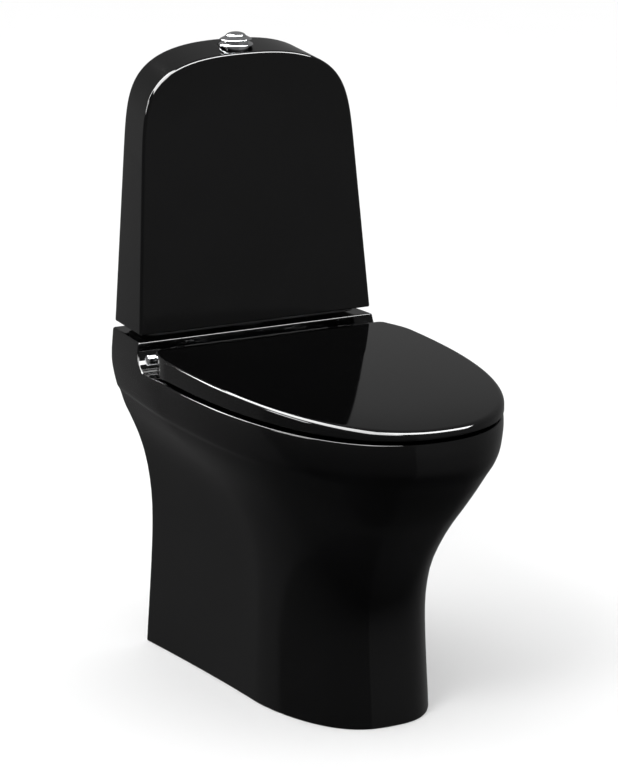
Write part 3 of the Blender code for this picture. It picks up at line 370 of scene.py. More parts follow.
class Shape:
    """A mesh under construction, grown ring by ring or turned from a profile."""

    def __init__(self) -> None:
        """Start with nothing."""
        self.bm = bmesh.new()
        self.edge: list[bmesh.types.BMVert] = []

    def start(self, points: Sequence[Vector]) -> "Shape":
        """Lay down the first closed ring.

        Args:
            points: the ring's corners in order.
        """
        self.edge = bmesh.ops.create_circle(self.bm, segments=len(points), radius=1.0)["verts"]
        return self._move(points)

    def cap(self) -> "Shape":
        """Close the ring that growth has reached."""
        bmesh.ops.edgeloop_fill(self.bm, edges=self._loop())
        return self

    def grow(self, points: Sequence[Vector]) -> "Shape":
        """Extrude the open ring and move the copy to the given points.

        Args:
            points: the new ring's corners, as many as the last ring has.
        """
        made = set(bmesh.ops.extrude_edge_only(self.bm, edges=self._loop())["geom"])
        self.edge = [next(e.other_vert(vert) for e in vert.link_edges if e.other_vert(vert) in made)
                     for vert in self.edge]
        return self._move(points)

    def _move(self, points: Sequence[Vector]) -> "Shape":
        """Put the open ring's corners in place."""
        for vert, point in zip(self.edge, points):
            vert.co = point
        return self

    def _loop(self) -> list[bmesh.types.BMEdge]:
        """The open ring's edges in order."""
        return [self._between(a, b) for a, b in zip(self.edge, self.edge[1:] + self.edge[:1])]

    @staticmethod
    def _between(first: bmesh.types.BMVert, second: bmesh.types.BMVert) -> bmesh.types.BMEdge:
        """The edge that joins two vertices."""
        return next(e for e in first.link_edges if e.other_vert(first) is second)

    def loft(self, rings: Iterable[Sequence[Vector]]) -> "Shape":
        """A closed solid through a list of rings."""
        rings = list(rings)
        self.start(rings[0]).cap()
        for ring in rings[1:]:
            self.grow(ring)
        return self.cap()

    def turn(self, profile: Sequence[tuple[float, float]], centre: Vector, axis: Axis = Axis.UP,
             steps: int = 64) -> "Shape":
        """Spin a profile into a solid.

        Args:
            profile: (radius, height) points; the ends are joined where neither is on the axis.
            centre: a point on the axis, from which heights are measured.
            axis: the way in which heights grow.
            steps: the number of flats round the piece.
        """
        verts = [self.bm.verts.new((radius, 0.0, height)) for radius, height in profile]
        edges = [self.bm.edges.new(pair) for pair in zip(verts, verts[1:])]
        if profile[0][0] > 0.0 and profile[-1][0] > 0.0:
            edges.append(self.bm.edges.new((verts[-1], verts[0])))
        bmesh.ops.spin(self.bm, geom=verts + edges, cent=(0, 0, 0), axis=(0, 0, 1),
                       angle=2 * pi, steps=steps, use_merge=True)
        bmesh.ops.remove_doubles(self.bm, verts=self.bm.verts, dist=MERGE)
        tilt = {Axis.UP: Matrix.Identity(4), Axis.ACROSS: Matrix.Rotation(pi / 2, 4, "Y"),
                Axis.OUT: Matrix.Rotation(-pi / 2, 4, "X")}[axis]
        bmesh.ops.transform(self.bm, matrix=Matrix.Translation(centre) @ tilt, verts=self.bm.verts)
        return self

    def block(self, low: Vector, high: Vector) -> "Shape":
        """A box between two corners."""
        made = bmesh.ops.create_cube(self.bm, size=1.0)["verts"]
        size = [abs(h - l) for l, h in zip(low, high)]
        move = Matrix.Translation((low + high) / 2) @ Matrix.Diagonal((*size, 1.0))
        bmesh.ops.transform(self.bm, matrix=move, verts=made)
        return self

    def soften(self, width: float, chosen: Callable[[bmesh.types.BMEdge], bool], segments: int = 3,
               clamp: bool = True) -> "Shape":
        """Round some edges.

        Args:
            width: how far the rounding reaches on each side.
            chosen: says which edges it takes.
            segments: the number of steps in it.
            clamp: stops it where it would meet another rounding.
        """
        picked = [e for e in self.bm.edges if len(e.link_faces) == 2 and chosen(e)]
        bmesh.ops.bevel(self.bm, geom=picked, offset=width, offset_type="OFFSET", affect="EDGES",
                        segments=segments, profile=0.5, material=-1, clamp_overlap=clamp)
        return self

    def tidy(self, flatten: float = 0.0, merge: float = MERGE) -> "Shape":
        """Merge doubles, and dissolve edges between faces that lie in one plane."""
        bmesh.ops.remove_doubles(self.bm, verts=self.bm.verts, dist=merge)
        if flatten:
            bmesh.ops.dissolve_limit(self.bm, angle_limit=flatten, verts=self.bm.verts,
                                     edges=self.bm.edges, use_dissolve_boundaries=False)
        return self

    def item(self, name: str) -> Item:
        """Turn the mesh into an object."""
        item = bpy.data.objects.new(name, bpy.data.meshes.new(name))
        self.back(item)
        bpy.context.scene.collection.objects.link(item)
        return item

    def solid(self, name: str) -> Item:
        """Turn the mesh into an object with its faces outwards."""
        bmesh.ops.recalc_face_normals(self.bm, faces=self.bm.faces)
        return self.item(name)

    @classmethod
    def of(cls, item: Item) -> "Shape":
        """Take up an object's mesh again."""
        shape = cls()
        shape.bm.from_mesh(item.data)
        return shape

    def back(self, item: Item) -> None:
        """Put the mesh back on its object."""
        self.bm.to_mesh(item.data)
        self.bm.free()


def carve(target: Item, tool: Item, kind: Cut) -> None:
    """Apply one solid to another, and remove the tool.

    Args:
        target: the object that keeps the result.
        tool: the solid that cuts it or is added to it.
        kind: whether the tool's volume is removed or added.
    """
    modifier = target.modifiers.new("carve", "BOOLEAN")
    modifier.object = tool
    modifier.operation = kind.value
    modifier.solver = "EXACT"
    evaluated = target.evaluated_get(bpy.context.evaluated_depsgraph_get())
    mesh = bpy.data.meshes.new_from_object(evaluated)
    target.modifiers.clear()
    target.data = mesh
    bpy.data.objects.remove(tool, do_unlink=True)


def remove(target: Item, *tools: Shape) -> None:
    """Cut each shape's volume out of an object."""
    for tool in tools:
        carve(target, tool.solid("tool"), Cut.REMOVE)


def add(target: Item, *tools: Shape) -> None:
    """Join each shape's volume to an object."""
    for tool in tools:
        carve(target, tool.solid("tool"), Cut.ADD)


def disc(radius: float, low: float, high: float, centre: Vector, axis: Axis = Axis.UP,
         steps: int = 48) -> Shape:
    """A plain round tool for cutting and joining."""
    return Shape().turn([(0.0, low), (radius, low), (radius, high), (0.0, high)], centre, axis, steps)


def arc(radius: float, start: float, end: float, steps: int = 5) -> Plan:
    """Points on an arc about the origin, angles in quarter turns."""
    angles = [pi / 2 * (start + (end - start) * i / steps) for i in range(steps + 1)]
    return [(radius * cos(a), radius * sin(a)) for a in angles]


def rounded(corners: Sequence[tuple[float, float]], radius: float, sharp: Iterable[int] = ()) -> Plan:
    """Round the corners of a profile.

    Args:
        corners: the profile's (radius, height) corners.
        radius: the largest rounding.
        sharp: the numbers of corners that stay as they are, besides the first and last.

    Returns:
        The profile with each corner replaced by a short curve.
    """
    keep = {0, len(corners) - 1, *sharp}
    points: Plan = []
    for i, corner in enumerate(corners):
        if i in keep:
            points.append(corner)
            continue
        here = Vector(corner)
        before = Vector(corners[i - 1]) - here
        after = Vector(corners[i + 1]) - here
        take = min(radius, before.length * 0.45, after.length * 0.45)
        start = here + before.normalized() * take
        end = here + after.normalized() * take
        for k in range(5):
            t = k / 4
            spot = start * (1 - t) ** 2 + here * 2 * t * (1 - t) + end * t * t
            points.append((spot.x, spot.y))
    return points


def finish_piece(item: Item, body: str, palette: Palette, nodes: Sequence[str],
                 angle: float = 32.0) -> None:
    """Shade, dress and hang up one piece.

    Args:
        item: the piece.
        body: the moving body it rides on.
        palette: its finish.
        nodes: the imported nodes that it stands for.
        angle: faces that meet at more degrees than this keep a sharp edge.
    """
    item.data.materials.clear()
    item.data.materials.append(palette.material())
    item.data.shade_smooth()
    item.data.set_sharp_from_angle(angle=radians(angle))
    modifier = item.modifiers.new("flat faces", "WEIGHTED_NORMAL")
    modifier.keep_sharp = True
    modifier.weight = 80
    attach(item, body)
    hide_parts(*nodes)
    log.info("%s: %d faces, %s", item.name, len(item.data.polygons), palette.value[0].name)


# ---- pan -----------------------------------------------------------------------------------
@dataclass(frozen=True)
class Section:
    """One level of the pan: insets from the widest outline, and the shape of its front curve."""

    rear_inset: float
    side_inset: float
    front_inset: float
    setback: float
    curve_start: float
    side_power: float
    front_power: float


def spline(knots: Sequence[tuple[float, Sequence[float]]], at: float) -> list[float]:
    """Smooth curve through knots, read at one place.

    Args:
        knots: pairs of a place and the values there.
        at: the place to read.

    Returns:
        The values at that place.
    """
    if at <= knots[0][0]:
        return list(knots[0][1])
    if at >= knots[-1][0]:
        return list(knots[-1][1])
    i = next(k for k in range(len(knots) - 1) if knots[k][0] <= at <= knots[k + 1][0])
    (t0, v0), (t1, v1) = knots[i], knots[i + 1]
    before = knots[max(i - 1, 0)]
    after = knots[min(i + 2, len(knots) - 1)]
    span = t1 - t0
    t = (at - t0) / span
    out = []
    for k in range(len(v0)):
        slope0 = (v1[k] - before[1][k]) / (t1 - before[0]) * span
        slope1 = (after[1][k] - v0[k]) / (after[0] - t0) * span
        out.append((2 * t**3 - 3 * t**2 + 1) * v0[k] + (t**3 - 2 * t**2 + t) * slope0
                   + (3 * t**2 - 2 * t**3) * v1[k] + (t**3 - t**2) * slope1)
    return out


@dataclass
class Pan:
    """Skirted back-to-wall pan with its deck, bowl, trapway and outlet."""

    rim_length: float = 0.6135
    deck_height: float = 0.460
    deck_depth: float = 0.0995
    deck_fillet: float = 0.032
    deck_inset: float = 0.0075
    edge_radius: float = 0.0026
    skirt_wall: float = 0.011
    rim_thickness: float = 0.014
    bowl_wall: float = 0.012
    deck_wall: float = 0.014
    opening_width: float = 0.248
    opening_back: float = 0.240
    opening_front: float = 0.5555
    valve_reach: float = 0.042
    outlet_height: float = 0.185
    bolt_x: float = 0.075
    inlet_x: float = 0.108
    duct_drop: float = 0.033
    duct_radius: float = 0.020
    crease_drop: float = 0.047
    crease_fall: float = 0.016
    crease_depth: float = 0.0016
    side_points: int = 14
    front_points: int = 38
    sections: tuple[tuple[float, Section], ...] = (
        (0.000, Section(0.0152, 0.0000, 0.0025, 0.0000, 0.158, 2.24, 3.08)),
        (0.014, Section(0.0160, 0.0008, 0.0005, 0.0006, 0.160, 2.24, 3.05)),
        (0.029, Section(0.0182, 0.0035, 0.0000, 0.0017, 0.165, 2.24, 3.00)),
        (0.044, Section(0.0215, 0.0070, 0.0010, 0.0030, 0.172, 2.25, 2.90)),
        (0.058, Section(0.0260, 0.0130, 0.0060, 0.0045, 0.182, 2.26, 2.80)),
        (0.074, Section(0.0315, 0.0220, 0.0165, 0.0065, 0.200, 2.28, 2.65)),
        (0.094, Section(0.0405, 0.0350, 0.0290, 0.0090, 0.225, 2.32, 2.45)),
        (0.119, Section(0.0505, 0.0500, 0.0475, 0.0110, 0.255, 2.38, 2.20)),
        (0.149, Section(0.0595, 0.0630, 0.0735, 0.0120, 0.280, 2.45, 1.95)),
        (0.184, Section(0.0660, 0.0725, 0.1015, 0.0120, 0.298, 2.55, 1.75)),
        (0.224, Section(0.0693, 0.0780, 0.1265, 0.0120, 0.308, 2.62, 1.62)),
        (0.284, Section(0.0682, 0.0795, 0.1415, 0.0120, 0.309, 2.68, 1.57)),
        (0.424, Section(0.0588, 0.0760, 0.1323, 0.0120, 0.309, 2.69, 1.57)),
    )

    def section(self, drop: float) -> Section:
        """The pan's section at a depth below the rim, or on the deck where drop is negative."""
        if drop < 0.0:
            share = min(-drop / (self.deck_height - RIM_HEIGHT), 1.0)
            rim = self.sections[0][1]
            return replace(rim, rear_inset=rim.rear_inset + 0.0033 * share,
                           side_inset=rim.side_inset + self.deck_inset * share)
        return Section(*spline([(level, astuple(section)) for level, section in self.sections], drop))

    def crease(self, drop: float, forward: float) -> float:
        """Extra inset below the soft crease that runs round under the rim.

        Args:
            drop: depth below the rim.
            forward: place along the side, from 0 at the back to 1 at the tip.

        Returns:
            The inset, which fades out downwards and towards the tip.
        """
        line = self.crease_drop + self.crease_fall * forward
        below = drop - line
        if below <= 0.0 or below > 0.060:
            return 0.0
        step = min(below / 0.005, 1.0)
        fade = 1.0 - max(below - 0.005, 0.0) / 0.055
        strength = 1.0 - min(max((forward - 0.45) / 0.35, 0.0), 1.0)
        return self.crease_depth * strength * step * step * (3 - 2 * step) * fade * fade

    def outline(self, drop: float, grow: float = 0.0, rear: Optional[float] = None,
                inset: float = 0.0) -> Plan:
        """Plan of the pan at one level, from the left rear corner round the front to the right.

        Args:
            drop: depth below the rim.
            grow: how far it stands out from the skin.
            rear: reach of its back, where that isn't the skin's.
            inset: how far it stands in from the skin.
        """
        s = self.section(drop)
        creases = inset == 0.0 and grow == 0.0
        half = RIM_WIDTH / 2 - s.side_inset + grow - inset
        rear_half = RIM_WIDTH / 2 - s.rear_inset + grow - inset
        front = self.rim_length + 0.0005 - s.front_inset + grow - inset
        back = s.setback if rear is None else rear
        side: Plan = []
        for i in range(self.side_points):
            t = i / self.side_points
            extra = self.crease(drop, 0.25 * t) if creases else 0.0
            side.append((half + (rear_half - half) * (1 - t) ** 1.5 - extra,
                         back + (s.curve_start - back) * t))
        for i in range(self.front_points + 1):
            u = pi / 2 * i / self.front_points
            extra = self.crease(drop, 0.25 + 0.75 * i / self.front_points) if creases else 0.0
            length = front - extra - s.curve_start
            side.append(((half - extra) * max(cos(u), 0.0) ** (2 / s.side_power),
                         s.curve_start + length * sin(u) ** (2 / s.front_power)))
        left = [(-x, reach) for x, reach in side]
        return left + [(x, reach) for x, reach in reversed(side[:-1])]

    def ring(self, drop: float, **options: float) -> list[Vector]:
        """One level of the skin as points."""
        return [place(x, reach, RIM_HEIGHT - drop) for x, reach in self.outline(drop, **options)]

    def skin(self) -> Shape:
        """The outside from the foot up to the top of the deck."""
        foot = RIM_HEIGHT
        rings = [self.ring(foot, inset=0.0015), self.ring(foot - 0.0006, inset=0.0004)]
        drops = [foot - 0.002, *(foot - 0.02 - 0.02 * i for i in range(14))]
        drops += [0.138 - 0.007 * i for i in range(8)]
        drops += [0.085 - 0.0032 * i for i in range(22)]
        drops += [0.0125, 0.0068, -0.0075, -0.018, -0.028, -0.0325]
        rings += [self.ring(drop) for drop in drops]
        top = self.deck_height - RIM_HEIGHT
        radius = 0.0030
        for x, y in arc(radius, 0.0, 1.0, 5):
            rings.append(self.ring(-(top - radius + y), inset=radius - x))
        return Shape().loft(rings)

    def deck_tool(self) -> Shape:
        """Volume above the rim and in front of the deck, with the sweep between them."""
        high = self.deck_height + 0.02
        profile = [(self.deck_depth, high), (self.deck_depth, RIM_HEIGHT + self.deck_fillet)]
        for x, y in arc(self.deck_fillet, 0.0, 1.0, 14)[1:]:
            profile.append((self.deck_depth + self.deck_fillet - x, RIM_HEIGHT + self.deck_fillet - y))
        profile += [(0.64, RIM_HEIGHT), (0.64, high)]
        return Shape().loft([[place(x, r, z) for r, z in profile] for x in (-0.3, 0.3)])

    @staticmethod
    def oval(half_width: float, back: float, front: float, power: float = 2.2,
             count: int = 64) -> Plan:
        """A rounded oval in plan.

        Args:
            half_width: its reach to each side.
            back: reach of its back.
            front: reach of its front.
            power: 2 gives an ellipse, more gives fuller corners.
            count: the number of points.
        """
        middle = (back + front) / 2
        half_length = (front - back) / 2
        points = []
        for i in range(count):
            u = 2 * pi * i / count
            c, s = cos(u), sin(u)
            x = -half_width * abs(s) ** (2 / power) * (1 if s >= 0 else -1)
            points.append((x, middle - half_length * abs(c) ** (2 / power) * (1 if c >= 0 else -1)))
        return points

    def bowl(self, grow: float) -> Shape:
        """The bowl's inside, or its outside when grow is the wall's thickness."""
        levels = [(0.000, (0.0, 0.0, 0.0)), (0.030, (0.002, 0.000, 0.002)),
                  (0.069, (0.012, 0.006, 0.014)), (0.119, (0.034, 0.026, 0.050)),
                  (0.169, (0.060, 0.052, 0.110)), (0.214, (0.084, 0.078, 0.172)),
                  (0.244, (0.092, 0.100, 0.206))]
        bottom = levels[-1][0]
        lip = 0.0045
        steps = 24
        rings = []
        for i in range(steps + 1):
            drop = bottom - (bottom - lip) * i / steps
            insets = [inset - grow for inset in spline(levels, drop)]
            rings.append(self._bowl_ring(*insets, RIM_HEIGHT - drop))
        if grow:
            rings[0] = [p - Vector((0, 0, grow)) for p in rings[0]]
            return Shape().loft(rings[:-1])
        for x, y in arc(lip, 0.0, 1.0, 5)[1:]:
            rings.append(self._bowl_ring(*[x - lip] * 3, RIM_HEIGHT - lip + y))
        rings.append(self._bowl_ring(*[-lip] * 3, RIM_HEIGHT + 0.02))
        return Shape().loft(rings)

    def _bowl_ring(self, side_in: float, back_in: float, front_in: float, z: float) -> list[Vector]:
        """One level of the bowl."""
        outline = self.oval(self.opening_width / 2 - side_in, self.opening_back + back_in,
                            self.opening_front - front_in)
        return [place(x, reach, z) for x, reach in outline]

    def trap(self, extra: float, end: float) -> Shape:
        """Round sections along the trapway, opening out to the outlet's bore.

        Args:
            extra: the wall's thickness, or nothing for the way through.
            end: reach of the outlet's end.
        """
        knots = [(0.350, 0.212), (0.334, 0.182), (0.298, 0.160), (0.258, 0.168), (0.228, 0.202),
                 (0.206, 0.240), (0.176, 0.264), (0.142, 0.258), (0.116, 0.228), (0.096, 0.200),
                 (0.068, self.outlet_height), (0.036, self.outlet_height), (end, self.outlet_height)]
        path = [Vector(spline(list(enumerate(knots)), step / 3)) for step in range(3 * len(knots) - 2)]
        rings = []
        for i, point in enumerate(path):
            along = (path[min(i + 1, len(path) - 1)] - path[max(i - 1, 0)]).normalized()
            normal = Vector((-along.y, along.x))
            widen = min(max((i / 3 - 7) / 3, 0.0), 1.0)
            radius = 0.029 + 0.013 * widen + extra
            ring = []
            count = 32
            for k in range(count):
                u = 2 * pi * k / count
                spot = point + normal * (radius * sin(u))
                ring.append(place(radius * cos(u), spot.x, spot.y))
            rings.append(ring)
        return Shape().loft(rings)

    def hollow(self, low: float, high: float, rear: float, floor: Optional[float] = None) -> Shape:
        """The room inside the skin.

        Args:
            low: depth of its bottom below the rim.
            high: depth of its top below the rim.
            rear: reach of its back.
            floor: a height down to which its bottom is drawn straight.
        """
        count = max(int((low - high) / 0.022), 3)
        drops = [low + (high - low) * i / count for i in range(count + 1)]
        rings = [self.ring(drop, grow=-self.skirt_wall, rear=rear) for drop in drops]
        if floor is not None:
            rings.insert(0, [Vector((p.x, p.y, floor)) for p in rings[0]])
        return Shape().loft(rings)

    def build(self) -> Item:
        """Make the pan's mesh."""
        pan = self.skin().solid("toilet_pan")
        remove(pan, self.deck_tool())
        shape = Shape.of(pan).tidy(ONE_PLANE, 0.0007)
        shape.soften(self.edge_radius, self._is_cut_edge, 4, False).back(pan)
        wall = self.deck_wall
        room = Shape().block(place(-0.150, wall, RIM_HEIGHT - 0.030),
                             place(0.150, self.deck_depth - wall, self.deck_height - wall))
        remove(pan, self.hollow(RIM_HEIGHT, 0.094, -0.02, -0.02),
               self.hollow(0.097, self.rim_thickness, wall), room)
        axis = place(0, self.valve_reach, 0)
        duct = RIM_HEIGHT - self.duct_drop
        along = place(0, 0, duct)
        deck, clear = self.deck_height, self.deck_height + 0.02
        add(pan, disc(0.0405, duct - 0.030, deck - 0.005, axis),
            disc(self.duct_radius + 0.006, -(self.opening_back + 0.002), -0.030, along, Axis.OUT, 32),
            self.bowl(self.bowl_wall), self.trap(0.009, 0.006))
        flare = [(0.0, duct - 0.020), (0.0345, duct - 0.020), (0.0345, deck - 0.002),
                 (0.0352, deck - 0.0006), (0.0366, deck), (0.0366, clear), (0.0, clear)]
        remove(pan, self.bowl(0.0), self.trap(0.0, -0.014), Shape().turn(flare, axis),
               disc(self.duct_radius, -(self.opening_back + 0.030), -self.valve_reach, along, Axis.OUT, 32))
        for side in (-1, 1):
            foot = place(side * POST_X, POST_REACH, 0)
            remove(pan, disc(0.0052, RIM_HEIGHT, clear, place(side * self.bolt_x, self.valve_reach, 0)),
                   disc(0.0055, RIM_HEIGHT - 0.05, RIM_HEIGHT + 0.01, foot),
                   disc(0.0135, RIM_HEIGHT, RIM_HEIGHT + 0.02, foot))
        remove(pan, disc(0.0125, RIM_HEIGHT, clear, place(self.inlet_x, self.valve_reach, 0)))
        return pan

    def _is_cut_edge(self, edge: bmesh.types.BMEdge) -> bool:
        """Edges left by the deck's cut that meet at a clear angle."""
        if edge.calc_face_angle(0.0) < radians(30):
            return False
        return all(v.co.z > RIM_HEIGHT - 0.0005 and WALL_Y - v.co.y > self.deck_depth - 0.0005
                   for v in edge.verts)

    def dress(self) -> None:
        """Glaze it."""
        finish_piece(self.build(), "root", Palette.CERAMIC, ["pan"])


# ---- cistern -------------------------------------------------------------------------------
@dataclass
class Cistern:
    """One-piece ceramic cover over the tank, tapered and arched, leaning back at the front."""

    width: float = 0.3585
    height: float = 0.380
    base: float = 0.4697
    depth: float = 0.0990
    lean: float = 0.079
    taper: float = 0.068
    rear_inset: float = 0.0078
    front_drop: float = 0.0095
    arch: float = 0.176
    wall: float = 0.008
    edge: float = 0.0045
    back_edge: float = 0.003

    def outline(self, half: float, crown: float, inset: float, floor: float) -> Plan:
        """Front view of the cover as (x, z).

        Args:
            half: half of its width at the base.
            crown: height of its top.
            inset: how far it stands in all round.
            floor: height of its open bottom.
        """
        top = crown - inset
        spring = crown - self.arch
        right: Plan = []
        straight = 12
        for i in range(straight):
            z = floor + (spring - floor) * i / straight
            right.append((half - inset - self.taper * (z - self.base), z))
        count = 44
        for i in range(count + 1):
            u = pi / 2 * (i / count) ** 1.7
            z = spring + (top - spring) * sin(u) ** (2 / 5.5)
            spread = max(cos(u), 0.0) ** (2 / 2.54)
            right.append(((half - inset - self.taper * (z - self.base)) * spread, z))
        right[-1] = (0.0, top)
        return right + [(-x, z) for x, z in reversed(right[:-1])]

    def front(self, z: float, inset: float) -> float:
        """Reach of the leaning front face at a height."""
        return self.depth - self.lean * (z - self.base) - inset

    def shell(self, inset: float, floor: float, edge: float) -> Shape:
        """The cover's outer shape, or its inside.

        Args:
            inset: the wall's thickness for the inside.
            floor: height of its bottom.
            edge: radius of its front edge; nothing leaves both edges sharp.
        """
        crown = self.base + self.height
        half = self.width / 2
        near = 0.001 + inset
        back_edge = min(edge, self.back_edge)
        sharp = [(0.0, 0.0)]
        rings = []
        for x, y in arc(back_edge, 1.0, 0.0, 4) if edge else sharp:
            plan = self.outline(half - self.rear_inset, crown, inset + (back_edge - x), floor)
            rings.append([place(px, near + (back_edge - y), pz) for px, pz in plan])
        for x, y in arc(edge, 0.0, 1.0, 6) if edge else sharp:
            plan = self.outline(half, crown - self.front_drop, inset + edge - x, floor)
            rings.append([place(px, self.front(pz, inset + edge - y), pz) for px, pz in plan])
        return Shape().loft(rings)

    def build(self) -> Item:
        """Make the cover's mesh."""
        cover = self.shell(0.0, self.base, self.edge).solid("cistern_cover_shell")
        axis = place(0, BUTTON_REACH, 0)
        above = BUTTON_LEVEL + 0.05
        remove(cover, self.shell(self.wall, self.base - 0.02, 0.0),
               disc(0.0252, BUTTON_LEVEL, above, axis, steps=64),
               disc(0.0195, BUTTON_LEVEL - 0.05, above, axis, steps=64))
        Shape.of(cover).tidy(ONE_PLANE).soften(0.0018, self._is_hem).back(cover)
        return cover

    def _is_hem(self, edge: bmesh.types.BMEdge) -> bool:
        """The bottom edges, inside and out."""
        return (edge.calc_face_angle(0.0) > radians(50)
                and all(abs(v.co.z - self.base) < 0.00002 for v in edge.verts))

    def dress(self) -> None:
        """Glaze it."""
        finish_piece(self.build(), "cover", Palette.CERAMIC, ["cistern_cover"])


# ---- lid and seat --------------------------------------------------------------------------
BAR_CENTRE = place(0, HINGE_REACH, HINGE_HEIGHT)


def eye(x: float, half: float, steps: int) -> Shape:
    """A round eye about the hinge bar, from x - half to x + half."""
    profile = [(0.0, x - half), (EYE_RADIUS, x - half), (EYE_RADIUS, x + half), (0.0, x + half)]
    return Shape().turn(rounded(profile, 0.0012), BAR_CENTRE, Axis.ACROSS, steps)


@dataclass
class Hood:
    """What the lid and the seat share: the rim's curve cut square at the back, and a crowned top."""

    lid_inset: float = 0.0015
    lid_back: float = 0.136
    wall: float = 0.0045
    rear_height: float = 0.0335
    front_height: float = 0.0160
    crown: float = 0.0020
    dome: float = 0.0035
    roll: float = 0.0
    corner: float = 0.014
    turn_reach: float = 0.198
    narrowing: float = 0.0105
    bar_bore: float = 0.0080
    lug_width: float = 0.014

    def outline(self, inset: float, back: float, corner: float) -> Plan:
        """Plan from the left rear corner round the front to the right.

        Args:
            inset: how far it stands in from the rim's widest outline.
            back: reach of its straight back.
            corner: radius of its rear corners.
        """
        half = RIM_WIDTH / 2 - inset
        rear_half = half - self.narrowing
        front = DEPTH + self.lid_inset - inset
        turn = self.turn_reach
        points: Plan = []
        for x, y in arc(corner, 0.0, 1.0, 8):
            points.append((rear_half - corner + y, back + corner - x))
        straight = 12
        for i in range(1, straight):
            t = i / straight
            points.append((half + (rear_half - half) * (1 - t) ** 1.7,
                           back + corner + (turn - back - corner) * t))
        count = 44
        for i in range(count):
            u = pi / 2 * i / count
            points.append((half * cos(u) ** (2 / 2.24), turn + (front - turn) * sin(u) ** (2 / 2.75)))
        left = [(-x, reach) for x, reach in points]
        return left + [(0.0, front)] + [(x, reach) for x, reach in reversed(points)]

    def forward(self, reach: float) -> float:
        """How far a reach is towards the front: 0 at the back, 1 at the tip."""
        return min(max((reach - self.lid_back) / (DEPTH - self.lid_back), 0.0), 1.0)

    def along(self, reach: float) -> float:
        """The same, but growing faster near the tip."""
        return self.forward(reach) ** 2

    def top(self, x: float, reach: float, drop: float) -> Vector:
        """A point on the crowned top, lowered by a thickness."""
        t = self.forward(reach)
        edge = self.rear_height + (self.front_height - self.rear_height) * t * t
        rise = self.crown * max(1 - (abs(x) / (RIM_WIDTH / 2)) ** 2, 0.0) * max(1 - t**4, 0.0)
        return place(x, reach, RIM_HEIGHT + edge + rise - drop)

    @staticmethod
    def shrink(outline: Plan, share: float) -> Plan:
        """Pull an outline towards its middle."""
        middle = (outline[0][1] + DEPTH) / 2
        return [(x * share, middle + (reach - middle) * share) for x, reach in outline]

    def offset(self, outline: Plan, distance: float, roll: float = 0.0) -> Plan:
        """Move an outline inwards, square to itself.

        Args:
            outline: its points.
            distance: how far it moves.
            roll: how much further it moves at the tip, as a share of the distance.
        """
        moved = []
        count = len(outline)
        for i, (x, reach) in enumerate(outline):
            before = Vector(outline[i - 1])
            after = Vector(outline[(i + 1) % count])
            along = (after - before).normalized()
            step = distance * (1 + roll * self.along(reach))
            moved.append((x + along.y * step, reach - along.x * step))
        return moved

    def solid(self, outline: Plan, low: float, drop: float, edge: float, hem: float = 0.0) -> Shape:
        """A closed form with a flat underside and the crowned top.

        Args:
            outline: its plan.
            low: height of its underside.
            drop: how far its top lies below the lid's.
            edge: radius of its top edge.
            hem: radius of its bottom edge.
        """
        rings = [[place(x, r, low) for x, r in outline]]
        if hem:
            rings = [[place(px, r, low + hem - y) for px, r in self.offset(outline, hem - x)]
                     for x, y in arc(hem, 1.0, 0.0, 3)]
        inner = outline
        if edge:
            for x, y in arc(edge, 0.0, 1.0, 8):
                inner = self.offset(outline, edge - x, self.roll)
                rings.append([self.top(px, r, drop + (edge - y) * (1 + 0.55 * self.roll * self.along(r)))
                              for px, r in inner])
        else:
            rings.append([self.top(x, r, drop) for x, r in outline])
        for share in (0.97, 0.92, 0.85, 0.76, 0.66, 0.55, 0.43, 0.30, 0.17, 0.06):
            rings.append([self.top(x, r, drop - self.dome * self.along(r) * (1 - share**5))
                          for x, r in self.shrink(inner, share)])
        return Shape().loft(rings)

    def lug(self, x: float, reach_to: float, low: float, high: float) -> Shape:
        """An eye on the hinge bar with an arm that runs forward.

        Args:
            x: its middle.
            reach_to: reach of the arm's end.
            low: height of the arm's underside.
            high: height of the arm's top.
        """
        half = self.lug_width / 2
        item = eye(x, half, 40).solid("lug")
        add(item, Shape().block(place(x - half + 0.0005, HINGE_REACH + 0.001, low),
                                place(x + half - 0.0005, reach_to, high)))
        made = Shape.of(item)
        bpy.data.objects.remove(item, do_unlink=True)
        return made

    def bore(self) -> Shape:
        """The hole for the hinge bar through every lug."""
        return disc(self.bar_bore, -0.3, 0.3, BAR_CENTRE, Axis.ACROSS)


@dataclass
class Lid(Hood):
    """Thin crowned lid with deep sides."""

    edge: float = 0.0042
    roll: float = 1.6
    hem_height: float = 0.0065

    def build(self) -> Item:
        """Make the lid's mesh."""
        low = RIM_HEIGHT + self.hem_height
        outline = self.outline(self.lid_inset, self.lid_back, self.corner)
        lid = self.solid(outline, low, 0.0, self.edge, 0.0008).solid("wrap_over_lid")
        inner = self.outline(self.lid_inset + self.wall, self.lid_back - 0.020, 0.010)
        remove(lid, self.solid(inner, low - 0.02, self.wall, 0.0))
        for side in (-1, 1):
            add(lid, self.lug(side * LID_LUG_X, self.lid_back + 0.016, HINGE_HEIGHT + 0.001,
                              RIM_HEIGHT + self.rear_height - self.wall + 0.0015))
        remove(lid, self.bore())
        Shape.of(lid).tidy().back(lid)
        return lid

    def dress(self) -> None:
        """Polish it."""
        finish_piece(self.build(), "lid_shell", Palette.RESIN, ["lid"])


